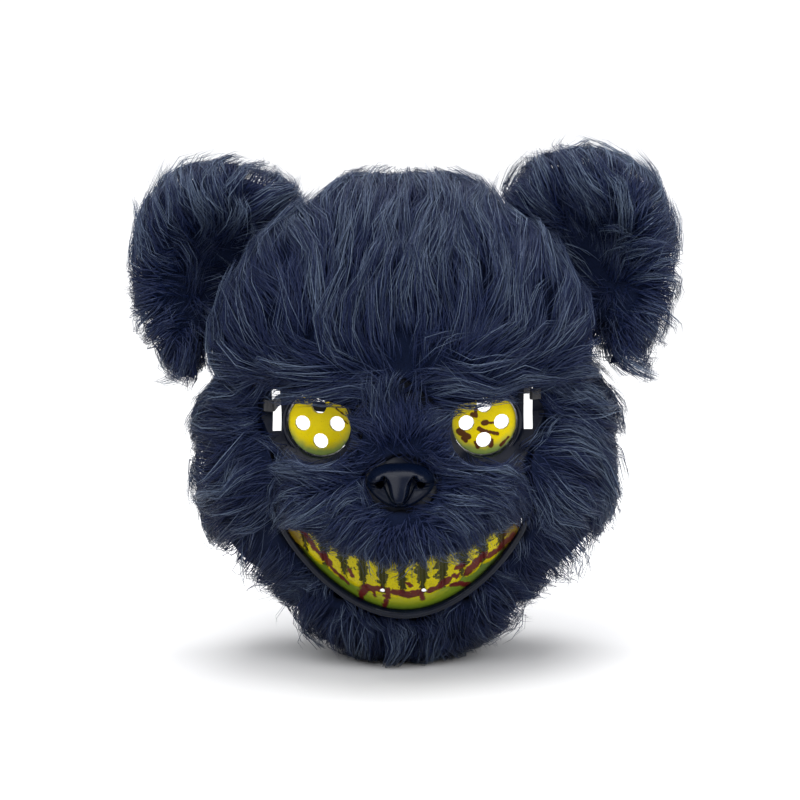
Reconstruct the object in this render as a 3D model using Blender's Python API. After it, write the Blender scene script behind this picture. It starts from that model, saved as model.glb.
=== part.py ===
"""Furry bear mask that stands on its chin: a moulded face shell with pierced eye discs,
a row of teeth and a nose, under panels of deep fur, with two cupped plush ears and an
elastic strap. Metres, +Z up. The face looks along -Y, and the origin is the middle of
the base."""

import bmesh
import bpy
import numpy as np
from mathutils import Matrix, Vector

MM = 0.001
CLEARANCE = 0.3 * MM

# Face shell
SHELL_HALF_WIDTH = 98.5 * MM
SHELL_HALF_HEIGHT = 117.0 * MM
SHELL_WALL = 2.0 * MM
DOME_DEPTH = 46.0 * MM
SIDE_WALL_DEPTH = 42.0 * MM
RIM_Y = 50.0 * MM
CHIN_GROUND_GAP = 17.5 * MM
SHELL_SPOKES = 34
SHELL_RINGS = 10
SIDE_RINGS = 2

# Eyes
EYE_SPACING = 86.0 * MM
EYE_RISE = 3.2 * MM
EYE_RADIUS = 17.3 * MM
EYE_DISC_THICKNESS = 2.0 * MM
EYE_HOLE_RADIUS = 4.2 * MM
EYE_HOLE_PITCH_RADIUS = 9.45 * MM
EYE_TURN = 12.0
EYE_DIP = 5.0
SOCKET_RECESS = 9.0 * MM
SOCKET_WALL = 2.6 * MM
SOCKET_LENGTH = 12.0 * MM
SOCKET_STANDS_PROUD = 3.0 * MM

# Mouth
MOUTH_HALF_WIDTH = 63.0 * MM
MOUTH_OPENING = 34.0 * MM
MOUTH_DROP = 81.0 * MM
MOUTH_GRIN = 32.0 * MM
LIP_RADIUS = 3.4 * MM
TEETH_THICKNESS = 2.4 * MM
TEETH_RECESS = 1.2 * MM
TOOTH_RELIEF = 1.6 * MM
TOOTH_COUNT = 12
GUM_HOLE_RADIUS = 1.4 * MM
GUM_HOLE_SPACING = 22.0 * MM

# Nose
NOSE_HALF_WIDTH = 18.5 * MM
NOSE_HALF_HEIGHT = 10.5 * MM
NOSE_DROP = 25.0 * MM
NOSE_DEPTH = 15.0 * MM
NOSTRIL_SPACING = 21.0 * MM
NOSTRIL_DENT = 6.0 * MM
NOSTRIL_RADIUS = 2.2 * MM

# Fur
FUR_BACKING_GAP = 0.8 * MM
FUR_SEAM = 1.4 * MM
CROWN_FUR_DEPTH = 14.5 * MM
CHEEK_FUR_DEPTH = 13.0 * MM
MUZZLE_FUR_DEPTH = 9.0 * MM
CHIN_FUR_DEPTH = 17.0 * MM
LOCK_RISE = 3.2 * MM
LOCK_SINK = 1.6 * MM
LOCK_REACH = 6.0 * MM
FUR_CLOTH = 1.2 * MM

# Ears
EAR_HALF_WIDTH = 50.0 * MM
EAR_HALF_HEIGHT = 60.0 * MM
EAR_HALF_DEPTH = 24.0 * MM
EAR_SPACING = 194.0 * MM
EAR_RISE = 82.0 * MM
EAR_LEAN = 2.0 * MM
EAR_SETBACK = 36.0 * MM
EAR_SPOKES = 30

# Strap and its slots
STRAP_WIDTH = 5.8 * MM
STRAP_THICKNESS = 1.2 * MM
SLOT_SPACING = 133.0 * MM
SLOT_WIDTH = 4.6 * MM
SLOT_LENGTH = 22.5 * MM
SLOT_RISE = 9.7 * MM
STRAP_TAB = 3.6 * MM
STRAP_TURN_INSIDE_RIM = 5.0 * MM
STRAP_HALF_SPAN = 70.0 * MM
STRAP_REACH = 42.0 * MM

FACE_Z = SHELL_HALF_HEIGHT + CHIN_GROUND_GAP
DOME_EDGE_Y = RIM_Y - SIDE_WALL_DEPTH
SOCKET_RADIUS = EYE_RADIUS + CLEARANCE + SOCKET_WALL
SIDE_TURN = np.radians(36.0)
QUARTER = np.pi / 2

# Outline of the rim: degrees from the top, radius as a share of the half sizes
OUTLINE = (
    (0, 0.945), (14, 0.972), (27, 1.025), (40, 1.066), (55, 1.062), (69, 1.005), (82, 0.957),
    (91, 0.972), (104, 1.03), (118, 1.05), (132, 0.98), (147, 0.968), (163, 0.977), (180, 1.0),
)

# Swells of the face: x and z of the middle, rise, spread in x and in z, as shares of
# the half width, half height and dome depth. A row off the middle is mirrored.
SWELLS = (
    (0.00, -0.43, 0.64, 0.47, 0.36),
    (0.00, -0.83, 0.22, 0.35, 0.19),
    (0.40, 0.27, 0.12, 0.28, 0.18),
    (0.56, -0.30, 0.15, 0.28, 0.22),
)

# Edges of the fur round the eyes: x and z from the middle of the eye, in socket radii,
# from the temple inwards over the brow, and from the bridge outwards under the eye
BROW_EDGE = (
    (1.73, 1.06), (1.14, 1.05), (0.50, 0.78), (-0.20, 0.52), (-0.79, 0.30), (-1.34, 0.44),
    (-1.73, 0.80), (-2.13, 1.10),
)
BRIDGE_EDGE = ((-1.74, 0.55), (-1.32, 0.20), (-1.10, -0.20), (-0.98, -0.62))
UNDER_EYE_EDGE = ((-0.80, -0.84), (-0.42, -1.03), (0.0, -1.10), (0.45, -1.05), (0.80, -1.08))
CHEEK_EDGE = ((1.55, 0.92), (1.53, -0.18), (1.17, -0.56), (0.88, -1.03))

# Depth of a fur panel from its inner edge to the rim: share of the way, share of depth
OPEN_PILE = ((0.0, 0.34), (0.12, 0.78), (0.3, 1.0), (0.85, 1.04), (1.0, 0.86))
MUZZLE_PILE = ((0.0, 0.40), (0.35, 0.95), (0.7, 1.0), (1.0, 0.55))

# Section of an ear from the middle of its hollow over the rim to the middle of its back:
# share of the radius, share of the half depth (negative to the front)
EAR_SECTION = (
    (0.00, 0.42), (0.22, 0.34), (0.38, -0.08), (0.55, -0.72), (0.74, -1.0), (0.90, -0.76),
    (1.0, 0.0), (0.95, 0.55), (0.76, 0.92), (0.42, 1.08), (0.00, 1.12),
)

# Height of the strap round its loop, as shares of its way from the left slot to the
# right, and of its own width above the middle of the slots
STRAP_HEIGHTS = ((0.0, 0.42), (0.18, -0.2), (0.40, -2.35), (0.62, -0.9), (0.85, 0.9), (1.0, 1.33))


def clear_scene():
    for item in list(bpy.data.objects):
        bpy.data.objects.remove(item, do_unlink=True)


def curve_through(at, rows):
    """A smooth curve through the (place, value) rows, level at both ends."""
    place, value = np.array(rows, float).T
    slope = np.gradient(value, place)
    slope[[0, -1]] = 0.0
    at = np.clip(np.asarray(at, float), place[0], place[-1])
    k = np.clip(np.searchsorted(place, at, side="right") - 1, 0, len(place) - 2)
    width = place[k + 1] - place[k]
    u = (at - place[k]) / width
    start = (2 * u**3 - 3 * u**2 + 1) * value[k] + (u**3 - 2 * u**2 + u) * width * slope[k]
    end = (3 * u**2 - 2 * u**3) * value[k + 1] + (u**3 - u**2) * width * slope[k + 1]
    return start + end


def resampled(points, count):
    """Points spaced evenly along a chain of points."""
    points = np.array(points, float)
    way = np.r_[0, np.cumsum(np.linalg.norm(np.diff(points, axis=0), axis=1))]
    at = np.linspace(0, way[-1], count)
    return np.stack([np.interp(at, way, column) for column in points.T], -1)


def rim_share(angle):
    return curve_through(np.degrees(np.abs(angle)), OUTLINE)


def rim_point(angle, grow=0.0):
    """x and z of the shell's rim at an angle from the top, moved out by grow."""
    share = rim_share(angle)
    x = (SHELL_HALF_WIDTH * share + grow) * np.sin(angle)
    z = FACE_Z + (SHELL_HALF_HEIGHT * share + grow) * np.cos(angle)
    return x, z


def swell(x, z):
    """How far the features of the face stand out of the plain dome."""
    total = np.zeros(np.broadcast(x, z).shape)
    for middle_x, middle_z, rise, spread_x, spread_z in SWELLS:
        for side in (1, -1) if middle_x else (1,):
            across = (x / SHELL_HALF_WIDTH - side * middle_x) / spread_x
            along = ((z - FACE_Z) / SHELL_HALF_HEIGHT - middle_z) / spread_z
            total = total + rise * DOME_DEPTH * np.exp(-(across**2) - along**2)
    return total


def face_point(angle, tilt):
    """A point of the shell's outer form: angle round from the top, and tilt from the
    middle of the face, a right angle at the edge of the dome and more down the side."""
    angle, tilt = np.broadcast_arrays(angle, tilt)
    reach = np.sin(np.minimum(tilt, QUARTER))
    share = rim_share(angle) * reach
    x = SHELL_HALF_WIDTH * share * np.sin(angle)
    z = FACE_Z + SHELL_HALF_HEIGHT * share * np.cos(angle)
    down_side = np.maximum(tilt - QUARTER, 0) / SIDE_TURN * SIDE_WALL_DEPTH
    y = DOME_EDGE_Y - DOME_DEPTH * np.cos(np.minimum(tilt, QUARTER)) + down_side
    y = y - swell(x, z) * (1 - reach**6)
    return np.stack([x, y, z], -1)


def face_angles(x, z):
    """The angle and tilt of the shell's point that is seen at x, z from the front."""
    across, up = x / SHELL_HALF_WIDTH, (z - FACE_Z) / SHELL_HALF_HEIGHT
    angle = np.arctan2(across, up)
    share = np.hypot(across, up) / rim_share(angle)
    return angle, np.arcsin(np.clip(share, 0, 1))


def face_normal(angle, tilt):
    """The outward normal of the shell's outer form."""
    step = 0.004
    tilt = np.maximum(tilt, 2 * step)
    round_way = face_point(angle + step, tilt) - face_point(angle - step, tilt)
    outward_way = face_point(angle, tilt + step) - face_point(angle, tilt - step)
    normal = np.cross(round_way, outward_way)
    return normal / np.linalg.norm(normal, axis=-1, keepdims=True)


def on_face(x, z, lift=0.0):
    angle, tilt = face_angles(np.asarray(x, float), np.asarray(z, float))
    return face_point(angle, tilt) + lift * face_normal(angle, tilt)


def recess(x, z):
    """Depth of the eye sockets below the face: level inside, smooth at the edge."""
    total = np.zeros(np.shape(x))
    for side in (1, -1):
        away = np.hypot(x - side * EYE_SPACING / 2, z - FACE_Z - EYE_RISE) / SOCKET_RADIUS
        edge = np.clip((1.5 - away) / 0.5, 0, 1)
        total = total + SOCKET_RECESS * edge * edge * (3 - 2 * edge)
    return total


def new_solid(name, points, faces, colour, roughness, smooth=False):
    """A closed mesh object with its faces turned outwards and its own material."""
    mesh = bpy.data.meshes.new(name)
    mesh.from_pydata([tuple(p) for p in points], [], [tuple(f) for f in faces])
    work = bmesh.new()
    work.from_mesh(mesh)
    bmesh.ops.recalc_face_normals(work, faces=work.faces)
    if work.calc_volume(signed=True) < 0:
        bmesh.ops.reverse_faces(work, faces=work.faces)
    bmesh.ops.triangulate(work, faces=[face for face in work.faces if len(face.verts) == 4])
    work.to_mesh(mesh)
    work.free()
    if smooth:
        mesh.shade_smooth()
        mesh.set_sharp_from_angle(angle=np.radians(40))
    item = bpy.data.objects.new(name, mesh)
    bpy.context.scene.collection.objects.link(item)
    if colour is not None:
        item.data.materials.append(new_material(name, colour, roughness))
    return item


def new_material(name, colour, roughness):
    material = bpy.data.materials.new(name)
    material.use_nodes = True
    shader = material.node_tree.nodes["Principled BSDF"]
    shader.inputs["Base Color"].default_value = (*colour, 1)
    shader.inputs["Roughness"].default_value = roughness
    return material


def cell_corners(across, along, closed):
    """The corners of each cell of a grid, in turn round the cell."""
    i, j = np.meshgrid(np.arange(across - (not closed)), np.arange(along - 1), indexing="ij")
    i, j = i.ravel(), j.ravel()
    beside = (i + 1) % across
    return np.stack([i * along + j, beside * along + j, beside * along + j + 1, i * along + j + 1], -1)


def wall_between(outer, inner, closed=False, locks=False):
    """Points and faces of the closed wall between two grids of the same size. With
    locks, each cell is split so that the raised points stand as separate tips."""
    across, along = outer.shape[:2]
    cells = cell_corners(across, along, closed)
    size = across * along
    skin = cells
    if locks:
        even = ((cells[:, 0] // along + cells[:, 0] % along) % 2 == 0)[:, None]
        first = np.where(even, cells[:, [0, 1, 3]], cells[:, [0, 1, 2]])
        second = np.where(even, cells[:, [1, 2, 3]], cells[:, [0, 2, 3]])
        skin = np.concatenate([first, second])
    faces = [*skin, *(cells[:, ::-1] + size)]
    for j in (0, along - 1):
        start = np.arange(across - (not closed)) * along + j
        end = (start + along) % size
        faces += list(np.stack([start, end, end + size, start + size], -1))
    if not closed:
        for i in (0, across - 1):
            start = i * along + np.arange(along - 1)
            faces += list(np.stack([start, start + 1, start + 1 + size, start + size], -1))
    return np.concatenate([outer.reshape(-1, 3), inner.reshape(-1, 3)]), faces


def hidden_tool(name, points, faces):
    tool = new_solid(name, points, faces, None, 0)
    tool.hide_render = True
    tool.display_type = "WIRE"
    return tool


def combine(item, tool, operation):
    modifier = item.modifiers.new(tool.name, "BOOLEAN")
    modifier.operation = operation
    modifier.solver = "EXACT"
    modifier.object = tool


def dissolve_flats(item):
    """Joins the slivers that the cuts leave on flat faces."""
    modifier = item.modifiers.new("flat_faces", "DECIMATE")
    modifier.decimate_type = "DISSOLVE"
    modifier.angle_limit = np.radians(0.5)


def prism(name, outline, start_y, end_y):
    """A tool along Y whose section is a closed outline of x, z points."""
    outline = np.asarray(outline)
    count = len(outline)
    points = [(x, y, z) for y in (start_y, end_y) for x, z in outline]
    sides = [(i, (i + 1) % count, (i + 1) % count + count, i + count) for i in range(count)]
    faces = [tuple(range(count)), tuple(range(2 * count - 1, count - 1, -1)), *sides]
    return hidden_tool(name, points, faces)


def rod_mesh(middle, axis, radius, length, sides):
    """Points and faces of a round bar, centred on a point, along an axis."""
    turn = Vector((0, 0, 1)).rotation_difference(Vector(axis)).to_matrix()
    angles = np.arange(sides) * 2 * np.pi / sides
    points = [
        Vector(middle) + turn @ Vector((radius * np.cos(a), radius * np.sin(a), h))
        for h in (-length / 2, length / 2)
        for a in angles
    ]
    sides_of = [(i, (i + 1) % sides, (i + 1) % sides + sides, i + sides) for i in range(sides)]
    return points, [tuple(range(sides)), tuple(range(2 * sides - 1, sides - 1, -1)), *sides_of]


def rod(name, middle, axis, radius, length, sides):
    return hidden_tool(name, *rod_mesh(middle, axis, radius, length, sides))


def eye_frame(side):
    """The middle of an eye disc and the axes of its plane: across, up and forward."""
    x, z = side * EYE_SPACING / 2, FACE_Z + EYE_RISE
    middle = on_face(x, z)
    middle[1] += SOCKET_RECESS
    turn = Matrix.Rotation(np.radians(side * EYE_TURN), 3, "Z")
    turn = turn @ Matrix.Rotation(np.radians(EYE_DIP), 3, "X")
    across, forward, up = (turn @ Vector(v) for v in ((1, 0, 0), (0, -1, 0), (0, 0, 1)))
    return Vector(middle), across, up, forward


def mouth_outline(angle, grow=0.0):
    """x and z of the mouth's edge, an ellipse bent upwards to its corners. Angle 0 is
    the right corner and a quarter turn is the upper edge."""
    x = (MOUTH_HALF_WIDTH + grow) * np.cos(angle)
    middle = FACE_Z - MOUTH_DROP + MOUTH_GRIN * (x / MOUTH_HALF_WIDTH) ** 2
    return x, middle + (MOUTH_OPENING / 2 + grow) * np.sin(angle)


def lip_tool():
    """The rounded lower lip, swept along the mouth's lower edge with tapered ends."""
    count, sides = 20, 6
    angle = np.linspace(np.pi * 0.985, np.pi * 2.015, count)
    along = np.linspace(0, 1, count)
    radius = LIP_RADIUS * (0.45 + 0.55 * np.sin(np.pi * along) ** 0.5)
    x, z = mouth_outline(angle, 0.35 * LIP_RADIUS)
    middle = on_face(x, z, 0.15 * LIP_RADIUS)
    tangent = np.gradient(middle, axis=0)
    tangent /= np.linalg.norm(tangent, axis=1, keepdims=True)
    front = np.cross(np.cross(tangent, (0, -1, 0)), tangent)
    front /= np.linalg.norm(front, axis=1, keepdims=True)
    beside = np.cross(tangent, front)
    turn = (np.arange(sides) * 2 * np.pi / sides)[None, :, None]
    ring = front[:, None] * np.cos(turn) + beside[:, None] * np.sin(turn)
    points = middle[:, None] + ring * radius[:, None, None]
    faces = list(cell_corners(sides, count, True))
    grid = points.transpose(1, 0, 2)
    faces += [[i * count + j for i in range(sides)] for j in (0, count - 1)]
    return hidden_tool("lower_lip", grid.reshape(-1, 3), faces)


def slot_outline(side):
    half_width, half_length = SLOT_WIDTH / 2, SLOT_LENGTH / 2
    x, z = side * SLOT_SPACING / 2, FACE_Z + SLOT_RISE
    corners = ((-1, -1), (1, -1), (1, 1), (-1, 1))
    return [(x + across * half_width, z + up * half_length) for across, up in corners]


def make_shell():
    """The moulded face: one wall over the dome and down its sides to a level rim, with
    eye sockets, the lower lip, the mouth's opening and two strap slots."""
    tilts = np.r_[
        np.linspace(0, QUARTER, SHELL_RINGS + 1)[1:],
        QUARTER + SIDE_TURN * np.arange(1, SIDE_RINGS + 1) / SIDE_RINGS,
    ]
    angles = np.arange(SHELL_SPOKES) * 2 * np.pi / SHELL_SPOKES
    angles = np.where(angles > np.pi, angles - 2 * np.pi, angles)
    angle, tilt = np.meshgrid(angles, tilts, indexing="ij")
    outer = face_point(angle, tilt)
    outer[..., 1] += recess(outer[..., 0], outer[..., 2])
    middle = face_point(0.0, 0.0)
    inner = outer - SHELL_WALL * face_normal(angle, tilt)
    inner[:, -1, 1] = outer[:, -1, 1]
    along = len(tilts)
    size = SHELL_SPOKES * along
    points = np.concatenate(
        [outer.reshape(-1, 3), inner.reshape(-1, 3), [middle, middle + (0, SHELL_WALL, 0)]]
    )
    cells = cell_corners(SHELL_SPOKES, along, True)
    faces = [*cells, *(cells[:, ::-1] + size)]
    start = np.arange(SHELL_SPOKES) * along
    end = (start + along) % size
    last = along - 1
    faces += list(np.stack([start + last, end + last, end + last + size, start + last + size], -1))
    faces += [(a, b, 2 * size) for a, b in zip(start, end)]
    faces += [(a + size, b + size, 2 * size + 1) for a, b in zip(start, end)]
    shell = new_solid("mask_shell", points, faces, (0.012, 0.012, 0.013), 0.18, smooth=True)
    bores = []
    for side, label in ((-1, "left"), (1, "right")):
        centre, _, _, forward = eye_frame(side)
        body_middle = centre + forward * (SOCKET_STANDS_PROUD - SOCKET_LENGTH / 2)
        body = rod(f"socket_{label}", body_middle, forward, SOCKET_RADIUS, SOCKET_LENGTH, 22)
        combine(shell, body, "UNION")
        bore_length = 2 * (SOCKET_LENGTH + SOCKET_RECESS)
        bores.append(rod(f"bore_{label}", centre, forward, EYE_RADIUS + 1.5 * CLEARANCE, bore_length, 22))
    combine(shell, lip_tool(), "UNION")
    turn = np.linspace(0, 2 * np.pi, 36, endpoint=False)
    front_y, back_y = RIM_Y - SIDE_WALL_DEPTH - 2.5 * DOME_DEPTH, RIM_Y - 0.2 * SIDE_WALL_DEPTH
    tools = [*bores, prism("mouth", np.stack(mouth_outline(turn), -1), front_y, back_y)]
    for side, label in ((-1, "left"), (1, "right")):
        tools.append(prism(f"slot_{label}", slot_outline(side), front_y, back_y))
        tools.append(nostril_tool(f"airway_{label}", side))
    for tool in tools:
        combine(shell, tool, "DIFFERENCE")
    dissolve_flats(shell)


def nostril_place(side):
    return side * NOSTRIL_SPACING / 2, FACE_Z - NOSE_DROP + 0.13 * NOSE_HALF_HEIGHT


def nostril_tool(name, side):
    x, z = nostril_place(side)
    middle = on_face(x, z, NOSE_DEPTH / 2)
    return rod(name, middle, (0, 1, 0), NOSTRIL_RADIUS, 3 * NOSE_DEPTH, 10)


def make_eye_disc(side, label):
    """A flat disc with four round holes, just inside its socket."""
    centre, across, up, forward = eye_frame(side)
    points, faces = rod_mesh(centre, forward, EYE_RADIUS, EYE_DISC_THICKNESS, 28)
    disc = new_solid(f"eye_disc_{label}", points, faces, (0.62, 0.52, 0.01), 0.2, smooth=True)
    for k, (a, b) in enumerate(((1, 0), (0, 1), (-1, 0), (0, -1))):
        middle = centre + (across * a + up * b) * EYE_HOLE_PITCH_RADIUS
        hole = rod(f"eye_hole_{label}_{k}", middle, forward, EYE_HOLE_RADIUS, 12 * EYE_DISC_THICKNESS, 12)
        combine(disc, hole, "DIFFERENCE")
    dissolve_flats(disc)


def make_teeth():
    """The mouth's plate: teeth in relief above a smooth gum, in the mouth's opening."""
    columns, rows = 3 * TOOTH_COUNT, 5
    turn = np.arcsin(np.linspace(-1, 1, columns + 1) * np.sin(np.radians(84)))
    level = np.linspace(-1, 1, rows + 1)
    turn, level = np.meshgrid(turn, level, indexing="ij")
    x = (MOUTH_HALF_WIDTH - CLEARANCE) * np.sin(turn)
    middle = FACE_Z - MOUTH_DROP + MOUTH_GRIN * (x / MOUTH_HALF_WIDTH) ** 2
    z = middle + level * (MOUTH_OPENING / 2 - 1.5 * CLEARANCE) * np.cos(turn)
    front = on_face(x, z)
    count_along = np.arange(columns + 1)[:, None] % 3
    on_tooth = (count_along > 0) * (level > -0.3)
    front[..., 1] += TEETH_RECESS - TOOTH_RELIEF * on_tooth * (1 - 0.35 * (level > 0.9))
    back = on_face(x, z)
    back[..., 1] += TEETH_RECESS + TEETH_THICKNESS
    points, faces = wall_between(front, back)
    teeth = new_solid("teeth_plate", points, faces, (0.50, 0.52, 0.02), 0.25)
    for side in (-1, 1):
        x, z = side * GUM_HOLE_SPACING / 2, FACE_Z - MOUTH_DROP - 0.1 * MOUTH_OPENING
        middle = on_face(x, z)
        hole = rod(f"gum_hole_{side}", middle, (0, 1, 0), GUM_HOLE_RADIUS, 10 * TEETH_THICKNESS, 8)
        combine(teeth, hole, "DIFFERENCE")


def nose_outline(angle, grow=0.0):
    """x and z of the nose's edge: a wide rounded form, broader above than below."""
    width = (NOSE_HALF_WIDTH + grow) * (0.93 + 0.07 * np.sin(angle))
    x = width * np.sign(np.cos(angle)) * np.abs(np.cos(angle)) ** 0.8
    return x, FACE_Z - NOSE_DROP + (NOSE_HALF_HEIGHT + grow) * np.sin(angle)


def make_nose():
    """The nose: a rounded pad that narrows below, with a dent at each nostril."""
    spokes, rings = 20, 5
    angle = np.arange(spokes) * 2 * np.pi / spokes
    share = np.sin(np.linspace(0.12, 1, rings) * QUARTER)
    angle, share = np.meshgrid(angle, share, indexing="ij")
    edge_x, edge_z = nose_outline(angle)
    x = share * edge_x
    z = FACE_Z - NOSE_DROP + share * (edge_z - FACE_Z + NOSE_DROP)
    lift = NOSE_DEPTH * np.sqrt(np.clip(1 - 0.96 * share**2.4, 0, 1))
    for side in (-1, 1):
        dent_x, dent_z = nostril_place(side)
        away = ((x - dent_x) / (0.32 * NOSE_HALF_WIDTH)) ** 2 + ((z - dent_z) / (0.5 * NOSE_HALF_HEIGHT)) ** 2
        lift = lift - NOSTRIL_DENT * np.exp(-away)
    front = on_face(x, z, FUR_BACKING_GAP)
    back = front.copy()
    front[..., 1] -= np.maximum(lift, NOSE_DEPTH * 0.12)
    along = rings
    size = spokes * along
    cells = cell_corners(spokes, along, True)
    start = np.arange(spokes) * along
    end = (start + along) % size
    middle = on_face(0.0, FACE_Z - NOSE_DROP, FUR_BACKING_GAP)
    points = np.concatenate(
        [front.reshape(-1, 3), back.reshape(-1, 3), [middle - (0, NOSE_DEPTH, 0), middle]]
    )
    faces = [*cells, *(cells[:, ::-1] + size)]
    rim = start + along - 1, end + along - 1
    faces += list(np.stack([rim[0], rim[1], rim[1] + size, rim[0] + size], -1))
    faces += [(a, b, 2 * size) for a, b in zip(start, end)]
    faces += [(a + size, b + size, 2 * size + 1) for a, b in zip(start, end)]
    nose = new_solid("nose", points, faces, (0.012, 0.012, 0.013), 0.15, smooth=True)
    for side, label in ((-1, "left"), (1, "right")):
        combine(nose, nostril_tool(f"nostril_{label}", side), "DIFFERENCE")


def fur_surface(points, angle, tilt, depth, seed, closed=False, ends_free=True, bare=0.0):
    """The outer face of a fur panel: its backing moved out by the pile's depth, every
    other point raised and drawn along the lie of the fur into the tip of a lock."""
    rng = np.random.default_rng(seed)
    normal = face_normal(angle, tilt)
    lie = np.gradient(points, axis=1)
    lie /= np.linalg.norm(lie, axis=-1, keepdims=True)
    across, along = points.shape[:2]
    i, j = np.meshgrid(np.arange(across), np.arange(along), indexing="ij")
    tip = (i + j) % 2 == 1
    inside = (j > 0) & (ends_free | (j < along - 1))
    if not closed:
        inside &= (i > 0) & (i < across - 1)
    vary = rng.uniform(0.65, 1.35, tip.shape)
    depth = depth + (FUR_CLOTH - depth) * bare
    inside = inside * (1 - bare)
    rise = np.where(tip, LOCK_RISE * vary, -LOCK_SINK) * inside
    reach = np.where(tip, LOCK_REACH * vary, 0.0) * inside
    return points + (depth + rise)[..., None] * normal + reach[..., None] * lie


def fur_panel(inner_edge, rim_angles, rows, depth, seed):
    """A panel of deep fur, ruled from a line on the face to the rim and down the side."""
    start_x, start_z = inner_edge[:, :1], inner_edge[:, 1:]
    start_tilt = face_angles(start_x, start_z)[1]
    way = np.linspace(0, 1, rows + 1)[None]
    tilt = start_tilt + (FUR_END_TILT - start_tilt) * way
    begin = np.sin(start_tilt)
    share = (np.sin(np.minimum(tilt, QUARTER)) - begin) / (1 - begin)
    rim_x, rim_z = rim_point(rim_angles[:, None])
    x = start_x + (rim_x - start_x) * share
    z = start_z + (rim_z - start_z) * share
    angle, on_dome = face_angles(x, z)
    tilt = np.where(tilt < QUARTER, on_dome, tilt)
    angle = np.where(tilt < QUARTER, angle, rim_angles[:, None])
    normal = face_normal(angle, tilt)
    backing = face_point(angle, tilt) + FUR_BACKING_GAP * normal
    pile = depth * curve_through(way + 0 * tilt, OPEN_PILE)
    outer = fur_surface(backing, angle, tilt, pile, seed, bare=under_ear(angle, tilt))
    return outer, backing


def under_ear(angle, tilt):
    """1 where an ear sits on the side of the head and the fur is bare cloth, else 0."""
    away = np.abs(angle)
    return ((away > EAR_START) & (away < EAR_END) & (tilt > EAR_FRONT_TILT)) * 1.0


def finish_panel(name, outer, backing, closed=False):
    outer[..., 2] = np.maximum(outer[..., 2], 0.0)
    points, faces = wall_between(outer, backing, closed=closed, locks=True)
    return new_solid(name, points, faces, (0.010, 0.011, 0.015), 0.8)


def round_eye(rows, side):
    """Turns places given in socket radii from an eye into x, z points."""
    rows = np.array(rows)
    x = side * np.maximum(EYE_SPACING / 2 + rows[:, 0] * SOCKET_RADIUS, 0)
    return np.stack([x, FACE_Z + EYE_RISE + rows[:, 1] * SOCKET_RADIUS], -1)


TEMPLE_ANGLE = np.radians(81)
JAW_ANGLE = np.radians(144)
EAR_START, EAR_END = np.radians(27), np.radians(77)
FUR_END_TILT = QUARTER + SIDE_TURN * 1.06
EAR_FRONT_TILT = np.radians(76)
EAR_FRONT_LEAN = np.radians(12)
EAR_EDGE = np.radians(6)
LIP_EDGE = LIP_RADIUS * 1.35 + 2 * CLEARANCE
LIP_SEAM_ANGLE = np.radians(45)
LIP_SEAM_GAP = FUR_SEAM / MOUTH_HALF_WIDTH / 2


def make_crown():
    """Fur of the forehead and the top of the head, down to both brows."""
    right = round_eye(BROW_EDGE, 1)
    left = round_eye(BROW_EDGE, -1)[::-1][1:]
    edge = resampled(np.concatenate([right, left]), 35)
    seam = FUR_SEAM / SHELL_HALF_WIDTH
    rim = np.linspace(TEMPLE_ANGLE - seam, seam - TEMPLE_ANGLE, 35)
    outer, backing = fur_panel(edge, rim, 12, CROWN_FUR_DEPTH, 3)
    finish_panel("crown_fur", outer, backing)


def corner_edge(side, start, end, count):
    """Points along the lower lip's outer edge, by mouth angle from the corner down."""
    angle = -np.linspace(start, end, count)
    x, z = mouth_outline(angle, LIP_EDGE)
    return np.stack([side * x, z], -1)


def make_cheek(side, label):
    """Fur from the temple down the cheek to the jaw, outside the eye and the mouth."""
    beside_eye = round_eye(CHEEK_EDGE, side)
    seam_x = beside_eye[-1, 0] - side * FUR_SEAM / 2
    corner = corner_edge(side, 0.0, LIP_SEAM_ANGLE - LIP_SEAM_GAP, 5)
    beside_eye[-1, 0] = seam_x + side * FUR_SEAM
    edge = resampled(np.concatenate([beside_eye, corner]), 17)
    rim = side * np.linspace(TEMPLE_ANGLE, JAW_ANGLE - FUR_SEAM / SHELL_HALF_WIDTH, 17)
    outer, backing = fur_panel(edge, rim, 10, CHEEK_FUR_DEPTH, 11)
    finish_panel(f"cheek_fur_{label}", outer, backing)


def make_chin():
    """Fur under the lower lip, round the chin to the rim, pressed level on the ground."""
    right = corner_edge(1, LIP_SEAM_ANGLE + LIP_SEAM_GAP, QUARTER, 8)
    left = corner_edge(-1, LIP_SEAM_ANGLE + LIP_SEAM_GAP, QUARTER, 8)[::-1][1:]
    edge = resampled(np.concatenate([right, left]), 19)
    rim = np.linspace(JAW_ANGLE, 2 * np.pi - JAW_ANGLE, 19)
    rim = np.where(rim > np.pi, rim - 2 * np.pi, rim)
    outer, backing = fur_panel(edge, rim, 9, CHIN_FUR_DEPTH, 5)
    finish_panel("chin_fur", outer, backing)


def muzzle_outline(count):
    """The muzzle fur's outer edge: under both eyes, over the bridge and above the lips."""
    side = np.concatenate([round_eye(UNDER_EYE_EDGE, 1)[::-1], round_eye(BRIDGE_EDGE, 1)[::-1]])
    side[0, 0] -= FUR_SEAM
    lip_angle = np.linspace(0.3, QUARTER, 9)
    x, z = mouth_outline(lip_angle, 0.06 * MOUTH_OPENING)
    half = np.concatenate([np.stack([x, z], -1)[::-1], side])
    half[-1, 0] = 0.3 * half[-1, 0]
    other = half[::-1].copy()
    other[:, 0] *= -1
    ring = np.concatenate([half, other[:-1]])
    return resampled(np.concatenate([ring, ring[:1]]), count + 1)[:-1]


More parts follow.
